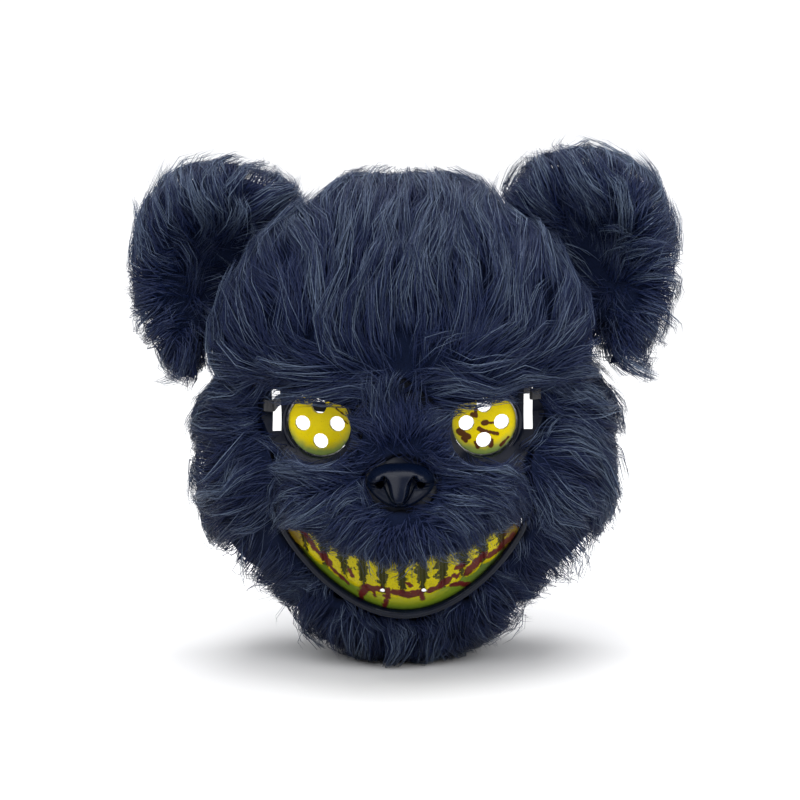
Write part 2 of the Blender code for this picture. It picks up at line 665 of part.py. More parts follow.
def make_muzzle():
    """Fur of the muzzle: a ring of locks that lie outwards from the nose."""
    count, rows = 36, 5
    outline = muzzle_outline(count)
    nose_z = FACE_Z - NOSE_DROP
    angle = np.arctan2((outline[:, 1] - nose_z) / NOSE_HALF_HEIGHT, outline[:, 0] / NOSE_HALF_WIDTH)
    nose_x, edge_z = nose_outline(angle, 2 * FUR_BACKING_GAP)
    way = np.linspace(0, 1, rows + 1)[None]
    x = nose_x[:, None] + (outline[:, :1] - nose_x[:, None]) * way
    z = edge_z[:, None] + (outline[:, 1:] - edge_z[:, None]) * way
    around, tilt = face_angles(x, z)
    backing = face_point(around, tilt) + FUR_BACKING_GAP * face_normal(around, tilt)
    pile = MUZZLE_FUR_DEPTH * curve_through(way + 0 * x, MUZZLE_PILE)
    outer = fur_surface(backing, around, tilt, pile, 7, closed=True, ends_free=False)
    finish_panel("muzzle_fur", outer, backing, closed=True)


def ear_seat(name):
    """The space taken up by the head and its fur, which an ear is cut to: as deep as the
    crown's locks in front of the ears, and close to the bare cloth behind that."""
    count = 64
    signed = np.linspace(-np.pi, np.pi, count, endpoint=False)
    front = EAR_FRONT_TILT + EAR_FRONT_LEAN * np.array([-2.0, -0.5, 1.0, 1.1])
    tilts = np.r_[np.radians((20, 45)), front, QUARTER + SIDE_TURN * np.array([0.3, 1.0, 3.0])]
    angle, tilt = np.meshgrid(signed, tilts, indexing="ij")
    away = np.abs(angle)
    beside_ear = (away > EAR_START + EAR_EDGE) & (away < EAR_END - EAR_EDGE)
    bare = beside_ear & (tilt > EAR_FRONT_TILT + 1.05 * EAR_FRONT_LEAN)
    locks = CROWN_FUR_DEPTH + 2.1 * LOCK_RISE
    grow = FUR_BACKING_GAP + 1.5 * CLEARANCE + np.where(bare, FUR_CLOTH, locks)
    points = face_point(angle, tilt) + grow[..., None] * face_normal(angle, tilt)
    faces = list(cell_corners(count, len(tilts), True))
    faces += [[i * len(tilts) + j for i in range(count)] for j in (0, len(tilts) - 1)]
    return hidden_tool(name, points.reshape(-1, 3), faces)


def make_ear(side, label):
    """A thick plush ear, hollow in front, cut to seat against the side of the shell."""
    rng = np.random.default_rng(21)
    turn = np.arange(EAR_SPOKES) * 2 * np.pi / EAR_SPOKES
    section = np.array(EAR_SECTION)
    rows = len(section)
    turn, k = np.meshgrid(turn, np.arange(rows), indexing="ij")
    radius, depth = section[k, 0], section[k, 1]
    corner = (np.abs(np.cos(turn)) ** 2.3 + np.abs(np.sin(turn)) ** 2.3) ** (-1 / 2.3)
    inward = np.clip(-np.cos(turn), 0, 1)
    depth = np.where(depth < 0, depth * (1 - 0.85 * inward), depth)
    tip = ((np.arange(EAR_SPOKES)[:, None] + k) % 2 == 1) & (k > 1) & (k < rows - 1)
    vary = rng.uniform(0.6, 1.3, tip.shape)
    reach = np.where(tip, LOCK_REACH * 0.55 * vary, 0) * (radius > 0.4)
    puff = np.where(tip, LOCK_RISE * vary, -0.6 * LOCK_SINK) * (radius > 0.2)
    x = (EAR_HALF_WIDTH * radius + reach) * corner * np.cos(turn)
    z = (EAR_HALF_HEIGHT * radius + reach) * corner * np.sin(turn)
    away = np.sign(depth) * puff * (1 - radius**6)
    y = RIM_Y - EAR_SETBACK + EAR_HALF_DEPTH * depth + away
    points = np.stack([side * (EAR_SPACING / 2 + x), y, FACE_Z + EAR_RISE + side * EAR_LEAN + z], -1)
    first, last = points[0, 0], points[0, -1]
    grid = points[:, 1:-1]
    along = rows - 2
    cells = cell_corners(EAR_SPOKES, along, True)
    even = ((cells[:, 0] // along + cells[:, 0] % along) % 2 == 0)[:, None]
    faces = [*np.where(even, cells[:, [0, 1, 2]], cells[:, [0, 1, 3]])]
    faces += [*np.where(even, cells[:, [0, 2, 3]], cells[:, [1, 2, 3]])]
    size = EAR_SPOKES * along
    start = np.arange(EAR_SPOKES) * along
    end = (start + along) % size
    faces += [(a, b, size) for a, b in zip(start, end)]
    faces += [(a + along - 1, b + along - 1, size + 1) for a, b in zip(start, end)]
    points = np.concatenate([grid.reshape(-1, 3), [first, last]])
    ear = new_solid(f"ear_{label}", points, faces, (0.010, 0.011, 0.015), 0.8)
    combine(ear, ear_seat(f"ear_seat_{label}"), "DIFFERENCE")


def strap_route():
    """The middle line of the strap: a tab outside the left slot, through the slot, back
    beside the head, round behind it and the same way to the right."""
    half = SLOT_SPACING / 2 + SLOT_WIDTH / 2
    lift = CLEARANCE + STRAP_THICKNESS / 2
    slot_z = FACE_Z + SLOT_RISE
    seat = on_face(half, slot_z)
    tab_x = half + np.array([1.0, 0.55, 0.12]) * STRAP_TAB
    tab = on_face(tab_x, np.full(3, slot_z), lift)[:, :2]
    inside = half - lift
    turn_y = seat[1] - lift
    through = [(half - 0.35 * lift, turn_y - 0.2 * lift), (inside, turn_y + 0.5 * lift)]
    through += [(inside, seat[1] + step * SHELL_WALL) for step in (0.5, 2.0, 3.5)]
    start_y = RIM_Y - STRAP_TURN_INSIDE_RIM
    share = np.array([[0.4], [0.7]])
    beside = (inside, seat[1]) + share * (STRAP_HALF_SPAN - inside, start_y - seat[1])
    bend = np.linspace(0, QUARTER, 11)
    round_x = STRAP_HALF_SPAN * np.cos(bend) ** 0.8
    behind = list(zip(round_x, start_y + STRAP_REACH * np.sin(bend) ** 0.9))
    return np.array([*tab, *through, *beside, *behind])


def make_strap():
    """A flat elastic strap, one band with its height along Z."""
    right = strap_route()
    left = right[:-1] * (-1, 1)
    route = np.concatenate([left, right[::-1]])
    step = np.r_[0, np.cumsum(np.linalg.norm(np.diff(route, axis=0), axis=1))]
    height = FACE_Z + SLOT_RISE + STRAP_WIDTH * curve_through(step / step[-1], STRAP_HEIGHTS)
    along = np.gradient(route, axis=0)
    along /= np.linalg.norm(along, axis=1, keepdims=True)
    beside = np.stack([-along[:, 1], along[:, 0]], -1) * STRAP_THICKNESS / 2
    rows = []
    for sign_side, sign_up in ((1, 1), (1, -1), (-1, -1), (-1, 1)):
        rows.append(np.column_stack([route + sign_side * beside, height + sign_up * STRAP_WIDTH / 2]))
    grid = np.stack(rows)
    count = len(route)
    faces = list(cell_corners(4, count, True))
    faces += [[i * count + j for i in range(4)] for j in (0, count - 1)]
    new_solid("elastic_strap", grid.reshape(-1, 3), faces, (0.015, 0.015, 0.016), 0.75)


def set_on_origin():
    """Moves everything so that the origin is the middle of the base."""
    bpy.context.view_layer.update()
    items = [item for item in bpy.data.objects if item.type == "MESH"]
    shown = [item for item in items if not item.hide_render]
    corners = np.concatenate([np.array([v.co for v in item.data.vertices]) for item in shown])
    low, high = corners.min(0), corners.max(0)
    shift = Matrix.Translation((-(low[0] + high[0]) / 2, -(low[1] + high[1]) / 2, -low[2]))
    for item in items:
        item.data.transform(shift)


def main():
    clear_scene()
    make_shell()
    for side, label in ((-1, "left"), (1, "right")):
        make_eye_disc(side, label)
        make_cheek(side, label)
        make_ear(side, label)
    make_teeth()
    make_nose()
    make_crown()
    make_muzzle()
    make_chin()
    make_strap()
    set_on_origin()


main()
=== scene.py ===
"""Looks of a furry bear mask: strands of deep fur over every fur panel and ear, glossy
moulded sockets, lips and nose, painted eyes and teeth, and a woven elastic strap."""

import bpy
import numpy as np
from mathutils import Matrix, Vector


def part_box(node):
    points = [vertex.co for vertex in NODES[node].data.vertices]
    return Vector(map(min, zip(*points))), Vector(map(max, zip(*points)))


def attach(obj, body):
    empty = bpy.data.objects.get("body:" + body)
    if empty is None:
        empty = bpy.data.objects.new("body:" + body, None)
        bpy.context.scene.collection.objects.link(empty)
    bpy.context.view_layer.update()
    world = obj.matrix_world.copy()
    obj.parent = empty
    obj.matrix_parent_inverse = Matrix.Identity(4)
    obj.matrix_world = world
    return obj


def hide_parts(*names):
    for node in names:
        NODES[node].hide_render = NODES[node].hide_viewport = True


MM = 0.001

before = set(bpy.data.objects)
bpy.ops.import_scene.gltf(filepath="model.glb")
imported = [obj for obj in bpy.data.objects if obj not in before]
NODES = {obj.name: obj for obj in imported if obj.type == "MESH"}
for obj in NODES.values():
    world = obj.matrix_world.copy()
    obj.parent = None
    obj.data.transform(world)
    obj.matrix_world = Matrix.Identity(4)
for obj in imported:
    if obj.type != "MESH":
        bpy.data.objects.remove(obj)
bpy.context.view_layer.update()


# Sizes that the finish shares with the solids
SHELL_HALF_WIDTH = 98.5 * MM
SHELL_HALF_HEIGHT = 117.0 * MM
DOME_DEPTH = 46.0 * MM
SIDE_WALL_DEPTH = 42.0 * MM
CHIN_GROUND_GAP = 17.5 * MM
FACE_Z = SHELL_HALF_HEIGHT + CHIN_GROUND_GAP
RIM_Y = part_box("mask_shell")[1].y
DOME_EDGE_Y = RIM_Y - SIDE_WALL_DEPTH
QUARTER = np.pi / 2
FLOOR_GAP = 0.3 * MM

MOUTH_HALF_WIDTH = 63.0 * MM
MOUTH_OPENING = 34.0 * MM
MOUTH_DROP = 81.0 * MM
MOUTH_GRIN = 32.0 * MM
LIP_RADIUS = 3.4 * MM
TEETH_RECESS = 1.2 * MM
TEETH_THICKNESS = 2.4 * MM
TOOTH_RELIEF = 1.6 * MM
TOOTH_PITCH = 10.4
GUM_LINE = -6.5
GUM_HOLE_RADIUS = 1.4 * MM
GUM_HOLE_SPACING = 22.0 * MM
NOSE_DROP = 25.0 * MM
NOSE_HALF_WIDTH = 18.5 * MM
NOSE_HALF_HEIGHT = 10.5 * MM
NOSE_SEAT = 0.8 * MM
NOSTRIL_SPACING = 21.0 * MM
NOSTRIL_RADIUS = 2.2 * MM

# Outline of the rim: degrees from the top, radius as a share of the half sizes
OUTLINE = (
    (0, 0.945), (14, 0.972), (27, 1.025), (40, 1.066), (55, 1.062), (69, 1.005), (82, 0.957),
    (91, 0.972), (104, 1.03), (118, 1.05), (132, 0.98), (147, 0.968), (163, 0.977), (180, 1.0),
)

# Swells of the face: x and z of the middle, rise, spread in x and in z, as shares of
# the half width, half height and dome depth. A row off the middle is mirrored.
SWELLS = (
    (0.00, -0.43, 0.64, 0.47, 0.36),
    (0.00, -0.83, 0.22, 0.35, 0.19),
    (0.40, 0.27, 0.12, 0.28, 0.18),
    (0.56, -0.30, 0.15, 0.28, 0.22),
)


def curve_through(at, rows):
    """A smooth curve through the (place, value) rows, level at both ends: cubic pieces
    whose slopes at the rows are the mean slopes of their neighbours."""
    place, value = np.array(rows, float).T
    slope = np.gradient(value, place)
    slope[[0, -1]] = 0.0
    at = np.clip(np.asarray(at, float), place[0], place[-1])
    k = np.clip(np.searchsorted(place, at, side="right") - 1, 0, len(place) - 2)
    width = place[k + 1] - place[k]
    u = (at - place[k]) / width
    start = (2 * u**3 - 3 * u**2 + 1) * value[k] + (u**3 - 2 * u**2 + u) * width * slope[k]
    end = (3 * u**2 - 2 * u**3) * value[k + 1] + (u**3 - u**2) * width * slope[k + 1]
    return start + end


def rim_share(angle):
    return curve_through(np.degrees(np.abs(angle)), OUTLINE)


def swell(x, z):
    """How far the features of the face stand out of the plain dome: a sum of bells."""
    total = np.zeros(np.broadcast(x, z).shape)
    for middle_x, middle_z, rise, spread_x, spread_z in SWELLS:
        for side in (1, -1) if middle_x else (1,):
            across = (x / SHELL_HALF_WIDTH - side * middle_x) / spread_x
            along = ((z - FACE_Z) / SHELL_HALF_HEIGHT - middle_z) / spread_z
            total = total + rise * DOME_DEPTH * np.exp(-(across**2) - along**2)
    return total


def on_face(x, z, lift=0.0):
    """The point of the moulded face that is seen at x, z from the front, moved out along
    its normal: a dome whose depth falls as the root of one less the square of the share
    of the rim's radius, plus the swells, which fade to the rim."""
    x, z = np.broadcast_arrays(np.asarray(x, float), np.asarray(z, float))

    def depth(x, z):
        across, up = x / SHELL_HALF_WIDTH, (z - FACE_Z) / SHELL_HALF_HEIGHT
        share = np.clip(np.hypot(across, up) / rim_share(np.arctan2(across, up)), 0, 1)
        return DOME_EDGE_Y - DOME_DEPTH * np.sqrt(1 - share**2) - swell(x, z) * (1 - share**6)

    step = 0.2 * MM
    slope_x = (depth(x + step, z) - depth(x - step, z)) / (2 * step)
    slope_z = (depth(x, z + step) - depth(x, z - step)) / (2 * step)
    normal = np.stack([slope_x, -np.ones_like(slope_x), slope_z], -1)
    normal /= np.linalg.norm(normal, axis=-1, keepdims=True)
    return np.stack([x, depth(x, z), z], -1) + np.asarray(lift)[..., None] * normal


def mouth_outline(angle, grow=0.0):
    """x and z of the mouth's edge: an ellipse bent upwards to its corners."""
    x = (MOUTH_HALF_WIDTH + grow) * np.cos(angle)
    middle = FACE_Z - MOUTH_DROP + MOUTH_GRIN * (x / MOUTH_HALF_WIDTH) ** 2
    return x, middle + (MOUTH_OPENING / 2 + grow) * np.sin(angle)


class Value:
    """A socket of a node tree whose operators add Math nodes."""

    def __init__(self, paint, socket):
        self.paint, self.socket = paint, socket

    def _math(self, operation, *terms):
        node = self.paint.tree.nodes.new("ShaderNodeMath")
        node.operation = operation
        for slot, term in zip(node.inputs, terms):
            self.paint.feed(slot, term)
        return Value(self.paint, node.outputs[0])

    def __add__(self, other):
        return self._math("ADD", self, other)

    def __sub__(self, other):
        return self._math("SUBTRACT", self, other)

    def __rsub__(self, other):
        return self._math("SUBTRACT", other, self)

    def __mul__(self, other):
        return self._math("MULTIPLY", self, other)

    def __truediv__(self, other):
        return self._math("DIVIDE", self, other)

    __radd__, __rmul__ = __add__, __mul__

    def power(self, other):
        return self._math("POWER", self, other)

    def smallest(self, other):
        return self._math("MINIMUM", self, other)

    def largest(self, other):
        return self._math("MAXIMUM", self, other)

    def sine(self):
        return self._math("SINE", self)

    def root(self):
        return self._math("SQRT", self)


class Paint:
    """A material and the few ways in which its nodes are made."""

    def __init__(self, name, **constants):
        self.material = bpy.data.materials.new(name)
        self.material.use_nodes = True
        self.tree = self.material.node_tree
        self.shader = self.tree.nodes["Principled BSDF"]
        for socket, value in constants.items():
            self.shader.inputs[socket.replace("_", " ")].default_value = value

    def feed(self, socket, value):
        if isinstance(value, Value):
            self.tree.links.new(value.socket, socket)
        else:
            socket.default_value = value

    def node(self, kind, settings=None, output=0, **inputs):
        """A node of a kind, with its settings made first and then its sockets fed."""
        made = self.tree.nodes.new(kind)
        for name, value in (settings or {}).items():
            setattr(made, name, value)
        for name, value in inputs.items():
            key = int(name[1:]) if name[0] == "_" else name.replace("_", " ")
            self.feed(made.inputs[key], value)
        return Value(self, made.outputs[output])

    def place(self):
        return self.node("ShaderNodeTexCoord", output="Object")

    def part(self, vector, axis):
        """One of the three numbers of a vector."""
        return self.node("ShaderNodeSeparateXYZ", output="XYZ".index(axis), Vector=vector)

    def noise(self, vector, scale, detail=3.0, rough=0.55):
        return self.node("ShaderNodeTexNoise", Vector=vector, Scale=scale, Detail=detail, Roughness=rough)

    def along(self, vector, origin, axis, length=MM):
        """How far a place lies from an origin along an axis, in a unit of length."""
        moved = self.node("ShaderNodeVectorMath", {"operation": "SUBTRACT"}, _0=vector, _1=tuple(origin))
        run = tuple(np.asarray(axis) / length)
        return self.node("ShaderNodeVectorMath", {"operation": "DOT_PRODUCT"}, output=1, _0=moved, _1=run)

    def stroke(self, u, v, start, end, radius):
        """Distance to the edge of a straight stroke with round ends, negative inside: the
        distance to the nearest point of its middle line less its radius."""
        run = np.subtract(end, start)
        length = float(max(run @ run, 1e-6))
        across, up = u - start[0], v - start[1]
        share = ((across * float(run[0]) + up * float(run[1])) / length).largest(0.0).smallest(1.0)
        off_u, off_v = across - share * float(run[0]), up - share * float(run[1])
        return (off_u * off_u + off_v * off_v).root() - radius

    def strokes(self, u, v, rows):
        """The distance to the nearest of several strokes."""
        nearest = None
        for start, end, radius in rows:
            one = self.stroke(u, v, start, end, radius)
            nearest = one if nearest is None else nearest.smallest(one)
        return nearest

    def behind(self):
        """0 where the surface looks forward and 1 where it looks back."""
        normal = self.node("ShaderNodeNewGeometry", output="Normal")
        return self.step(self.part(normal, "Y"), -0.15, 0.15)

    def step(self, value, low, high):
        """0 below low, 1 above high, and smooth between them."""
        settings = {"interpolation_type": "SMOOTHSTEP"}
        return self.node("ShaderNodeMapRange", settings, Value=value, From_Min=low, From_Max=high)

    def mix(self, share, first, second):
        """A colour between two colours."""
        settings = {"data_type": "RGBA", "clamp_factor": True}
        first = first if isinstance(first, Value) else (*first, 1)
        second = second if isinstance(second, Value) else (*second, 1)
        return self.node("ShaderNodeMix", settings, output=2, _0=share, _6=first, _7=second)

    def bump(self, height, distance, strength=1.0, below=None):
        linked = {"Normal": below} if below else {}
        return self.node("ShaderNodeBump", Height=height, Distance=distance, Strength=strength, **linked)

    def set(self, **inputs):
        for name, value in inputs.items():
            self.feed(self.shader.inputs[name.replace("_", " ")], value)
        return self.material


def fur_paint(name, dark, lit):
    """Near-black synthetic hair: each strand its own tone, which also carries painted shade in the pile's
    hollows and towards the root and painted light on the less lit panels.
    """
    paint = Paint(name, Specular_IOR_Level=0.22)
    tone = paint.node("ShaderNodeAttribute", {"attribute_name": "tone"}, output="Fac")
    broad = paint.noise(paint.place(), 38.0, 2.0)
    share = paint.step(tone + (broad - 0.5) * 0.2, 0.0, 1.0)
    return paint.set(Base_Color=paint.mix(share, dark, lit), Roughness=0.55 - share * 0.15)


def backing_paint():
    """The dense undercoat below the strands."""
    paint = Paint("dense_undercoat", Specular_IOR_Level=0.15)
    place = paint.place()
    grain = paint.noise(place, 900.0, 4.0, 0.7)
    colour = paint.mix(grain, (0.0008, 0.003, 0.014), (0.0015, 0.006, 0.026))
    return paint.set(Base_Color=colour, Roughness=0.95, Normal=paint.bump(grain, 0.0012))


def black_paint(name, rough, shine):
    """Black moulding with a slight ripple and a few dull patches."""
    paint = Paint(name, Specular_IOR_Level=shine)
    place = paint.place()
    ripple = paint.noise(place, 160.0, 2.0)
    dull = paint.step(paint.noise(place, 45.0, 3.0), 0.45, 0.7)
    colour = paint.mix(dull, (0.0008, 0.0022, 0.008), (0.003, 0.005, 0.011))
    normal = paint.bump(ripple, 0.0004, 0.35)
    return paint.set(Base_Color=colour, Roughness=rough + dull * 0.12, Normal=normal)


def strap_paint():
    """Woven elastic: fine ribs along the band and a closer weave across it."""
    paint = Paint("woven_elastic", Specular_IOR_Level=0.3, Sheen_Weight=0.2)
    place = paint.place()
    ribs = (paint.part(place, "Z") * 9000.0).sine()
    along = paint.part(place, "X") + paint.part(place, "Y")
    weave = (along * 7000.0).sine()
    height = ribs * 0.7 + weave * 0.3
    fuzz = paint.noise(place, 1500.0, 3.0)
    colour = paint.mix(paint.step(height + fuzz, -0.4, 1.4), (0.004, 0.004, 0.005), (0.022, 0.022, 0.026))
    return paint.set(Base_Color=colour, Roughness=0.8, Normal=paint.bump(height, 0.00025))


def mesh_arrays(node):
    """A CAD node's points, triangles and merged corner numbers as arrays."""
    mesh = node.data
    points = np.empty(len(mesh.vertices) * 3, np.float32)
    mesh.vertices.foreach_get("co", points)
    points = points.reshape(-1, 3).astype(float)
    mesh.calc_loop_triangles()
    corners = np.empty(len(mesh.loop_triangles) * 3, np.int32)
    mesh.loop_triangles.foreach_get("vertices", corners)
    _, first, merged = np.unique(
        np.round(points / (0.01 * MM)).astype(np.int64), axis=0, return_index=True, return_inverse=True
    )
    return points[first], merged.ravel()[corners].reshape(-1, 3)


def face_normals(points, faces):
    """Normals of triangles, as long as twice their area."""
    a, b, c = (points[faces[:, k]] for k in range(3))
    return np.cross(b - a, c - a)


def point_normals(points, faces):
    """The mean normal of the triangles round each point."""
    normals = np.zeros_like(points)
    flat = face_normals(points, faces)
    for k in range(3):
        np.add.at(normals, faces[:, k], flat)
    return normals / np.maximum(np.linalg.norm(normals, axis=1, keepdims=True), 1e-12)


def relaxed(points, faces, rounds):
    """Points moved again and again halfway to the mean of their neighbours."""
    for _ in range(rounds):
        total, count = np.zeros_like(points), np.zeros(len(points))
        for k in range(3):
            for other in ((k + 1) % 3, (k + 2) % 3):
                np.add.at(total, faces[:, k], points[faces[:, other]])
                np.add.at(count, faces[:, k], 1)
        points = 0.5 * points + 0.5 * total / count[:, None]
    return points


def nearest_distance(points, others):
    """How far each point is from the nearest of some other points."""
    away = [
        np.sqrt(((block[:, None] - others[None]) ** 2).sum(-1).min(1))
        for block in np.array_split(points, max(1, len(points) // 500))
    ]
    return np.concatenate(away)


def new_piece(name, points, faces, material, smooth=True):
    """A mesh object at the origin that rides on the mask."""
    mesh = bpy.data.meshes.new(name)
    faces = np.asarray(faces)
    mesh.vertices.add(len(points))
    mesh.vertices.foreach_set("co", np.asarray(points, np.float32).ravel())
    sides = faces.shape[1]
    mesh.loops.add(faces.size)
    mesh.loops.foreach_set("vertex_index", faces.astype(np.int32).ravel())
    mesh.polygons.add(len(faces))
    mesh.polygons.foreach_set("loop_start", (np.arange(len(faces)) * sides).astype(np.int32))
    mesh.polygons.foreach_set("use_smooth", np.full(len(faces), smooth))
    mesh.materials.append(material)
    mesh.update(calc_edges=True)
    piece = bpy.data.objects.new(name, mesh)
    bpy.context.scene.collection.objects.link(piece)
    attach(piece, "root")
    return piece


def set_tone(piece, tone):
    """Stores a number between 0 and 1 on each point for the fur's colour."""
    attribute = piece.data.attributes.new("tone", "FLOAT", "POINT")
    attribute.data.foreach_set("value", np.asarray(tone, np.float32).ravel())


HEAD_PANELS = ("crown_fur", "cheek_fur_left", "cheek_fur_right", "chin_fur", "muzzle_fur")
EARS = ("ear_left", "ear_right")
HEAD_MIDDLE = np.array([0.0, RIM_Y - 10 * MM, FACE_Z])
LOOKS_OUT = 0.3
MEAN_REACH = 5.0 * MM
ROOT_DEPTH = 9.0 * MM
TALLEST = 11.0 * MM


def unit(vectors):
    return vectors / np.maximum(np.linalg.norm(vectors, axis=-1, keepdims=True), 1e-12)


def outer_side(node_names, rounds=2):
    """Points and normals of those sides of some solids that look out of the mask."""
    places, normals = [], []
    for node_name in node_names:
        points, faces = mesh_arrays(NODES[node_name])
        points = relaxed(points, faces, rounds)
        normal = point_normals(points, faces)
        seen = (normal * unit(points - HEAD_MIDDLE)).sum(-1) > LOOKS_OUT
        seen |= node_name in EARS
        places.append(points[seen])
        normals.append(normal[seen])
    return np.concatenate(places), np.concatenate(normals)


def laid(place, side, share=0.0):
    """Places brought onto the smooth surface of a side: the points near each place,
    weighted by a bell of their distance, give a mean plane, and the height over it is cut
    to a share. Gives the normals of the planes and the full heights too."""
    points, normals = side
    settled, planes, heights = np.empty_like(place), np.empty_like(place), np.empty((len(place), 1))
    for block in np.array_split(np.arange(len(place)), max(1, len(place) // 500)):
        away = ((place[block, None] - points[None]) ** 2).sum(-1)
        weight = np.exp((away.min(1, keepdims=True) - away) / (2 * MEAN_REACH**2))
        weight /= weight.sum(1, keepdims=True)
        normal = unit(weight @ normals)
        height = ((place[block] - weight @ points) * normal).sum(-1, keepdims=True)
        settled[block] = place[block] - (1 - share) * height * normal
        planes[block], heights[block] = normal, height
    return settled, planes, heights


def drift(place, seed, reach):
    """A number that changes smoothly from place to place: the mean of waves along seeded
    directions, whose lengths lie near a reach."""
    rng = np.random.default_rng(seed)
    ways = unit(rng.normal(size=(6, 3))) * 2 * np.pi / (reach * rng.uniform(0.7, 1.4, (6, 1)))
    return np.sin(place @ ways.T + rng.uniform(0, 2 * np.pi, 6)).mean(-1, keepdims=True)


# Painted shade on the pile where shade falls: between the eyes, under the nose, in the ear hollows and under
# the chin.
# x, distance behind the rim, height over the floor and reach, in mm, and how dark
PAINTED_SHADES = (
    (0, -112, 130, 26, 0.8),
    (0, -122, 92, 16, 0.5),
    (-104, -50, 204, 32, 0.3),
    (104, -50, 208, 32, 0.3),
    (0, -50, 10, 60, 0.35),
)


def painted_shade_of(place):
    """How much light the painted shade leaves the pile at each place: the product of one less a bell for each
    shade.
    """
    light = np.ones(place.shape[:-1])
    for x, y, z, reach, dark in PAINTED_SHADES:
        away = ((place - np.array([x * MM, RIM_Y + y * MM, z * MM])) ** 2).sum(-1)
        light = light * (1 - dark * np.exp(-away / (reach * MM) ** 2))
    return light


# Openings kept clear of hair: x and height of the middle, half width and half height, mm,
# and how far up they are clear: a height at the middle of the face and a rise to the side
EYE_CLEARINGS = (
    (-43.0, 136.0, 17.6, 18.6, 135.5, 0.3),
    (44.5, 135.5, 19.0, 19.0, 134.0, 0.3),
)
OTHER_CLEARINGS = (
    (-66.8, 152.0, 2.2, 5.5),
    (66.6, 148.0, 2.8, 11.5),
    (0.0, 110.5, 16.5, 9.5),
)

# The lowest that hair hangs: distance from the middle and height over the floor, mm
JAW_LINE = ((0, -9), (30, -3), (44, 4), (53, 13), (63, 24), (73, 35), (84, 47), (94, 57), (108, 70))


def parted(path, rng):
    """Strands that run over an eye's rim are pushed out to it. Gives the strands and which
    of them stay: few that cross an opening, seen from the front, half of those over the
    teeth and few that hang below the jaw's line."""
    x, z = path[:, 1:, 0] / MM, path[:, 1:, 2] / MM
    crosses = np.zeros(len(path), bool)
    for middle_x, middle_z, half_x, half_z, top, rise in EYE_CLEARINGS:
        away = np.hypot((x - middle_x) / half_x, (z - middle_z) / half_z)
        inside = (away < 1) & (z < top + rise * np.abs(x))
        push = np.where(inside, 1 / np.maximum(away, 0.3), 1)
        crosses |= (inside & (away < 0.6)).any(1)
        x, z = middle_x + (x - middle_x) * push, middle_z + (z - middle_z) * push
    for middle_x, middle_z, half_x, half_z in OTHER_CLEARINGS:
        crosses |= (np.hypot((x - middle_x) / half_x, (z - middle_z) / half_z) < 1).any(1)
    width = x * MM / MOUTH_HALF_WIDTH
    middle = (FACE_Z - MOUTH_DROP + MOUTH_GRIN * width**2) / MM
    half = MOUTH_OPENING / 2 / MM * np.sqrt(np.clip(1 - width**2, 0, 1))
    over_teeth = (np.abs(z - middle) < half - 3).any(1)
    away, lowest = np.array(JAW_LINE).T
    hangs = (z < np.interp(np.abs(x), away, lowest)).any(1) & (np.abs(x[:, 0]) < 108)
    path[:, 1:, 0], path[:, 1:, 2] = x * MM, z * MM
    chance = rng.random((3, len(path)))
    stays = (~crosses | (chance[0] < 0.04)) & (~over_teeth | (chance[1] < 0.45))
    return path, stays & (~hangs | (chance[2] < 0.1))


SHELL_SIDE = outer_side(["mask_shell"], 0)
SHELL_POINTS = mesh_arrays(NODES["mask_shell"])[0]
HEAD_SIDE = outer_side(HEAD_PANELS)


def undercoat(name, node_name, material):
    """The solid's own form, relaxed and drawn in a little, as the dark body of the pile.
    It draws in by a share of its height over the shell, so that thin cloth stays put."""
    points, faces = mesh_arrays(NODES[node_name])
    is_ear = node_name in EARS
    smooth = relaxed(points, faces, 4 if is_ear else 1)
    normals = point_normals(smooth, faces)
    height = nearest_distance(smooth, SHELL_POINTS)
    draw = np.clip(0.45 * (height - 3 * MM), 0, (3.0 if is_ear else 6.5) * MM)
    smooth = np.where(height[:, None] > 3 * MM, smooth, points)
    piece = new_piece(name, smooth - normals * draw[:, None], faces, material)
    set_tone(piece, np.zeros(len(points)))
    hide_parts(node_name)
    return piece


# Way of the fur over each panel: the point that it runs away from (x, distance behind
# the rim, height over the floor, mm) and a steady way added to it
LIES = {
    "crown_fur": ((0, -70, 60), (0.0, 0.10, 0.30)),
    "cheek_fur_left": ((0, -95, 122), (0.0, 0.25, -0.50)),
    "cheek_fur_right": ((0, -95, 122), (0.0, 0.25, -0.50)),
    "chin_fur": ((0, -85, 96), (0.0, 0.0, -0.35)),
    "muzzle_fur": ((0, -128, 111), (0.0, 0.10, -0.28)),
    "ear_left": ((-106, -46, 206), (0.0, 0.15, 0.05)),
    "ear_right": ((106, -46, 210), (0.0, 0.15, 0.05)),
}
BROW_TOP, BROW_BOTTOM = 192 * MM, 158 * MM

# Clumps of each panel: long hair, underfur and edge hair, and the long hair's length in mm
CLUMPS = {
    "crown_fur": (440, 700, 150, 44),
    "cheek_fur_left": (170, 290, 100, 40),
    "cheek_fur_right": (170, 290, 100, 40),
    "chin_fur": (150, 250, 170, 34),
    "muzzle_fur": (190, 250, 190, 25),
    "ear_left": (210, 370, 0, 36),
    "ear_right": (210, 370, 0, 36),
}
# Painted light: how much lighter each panel's hair is painted beside the crown's, to lift the panels that the
# lamps light less
PAINTED_PANEL_LIGHT = {"crown_fur": 1.0, "muzzle_fur": 1.0, "chin_fur": 1.35, "ear_left": 1.3, "ear_right": 1.5}
STRANDS_IN_CLUMP = 13
LOCKS_SHARE = 0.2


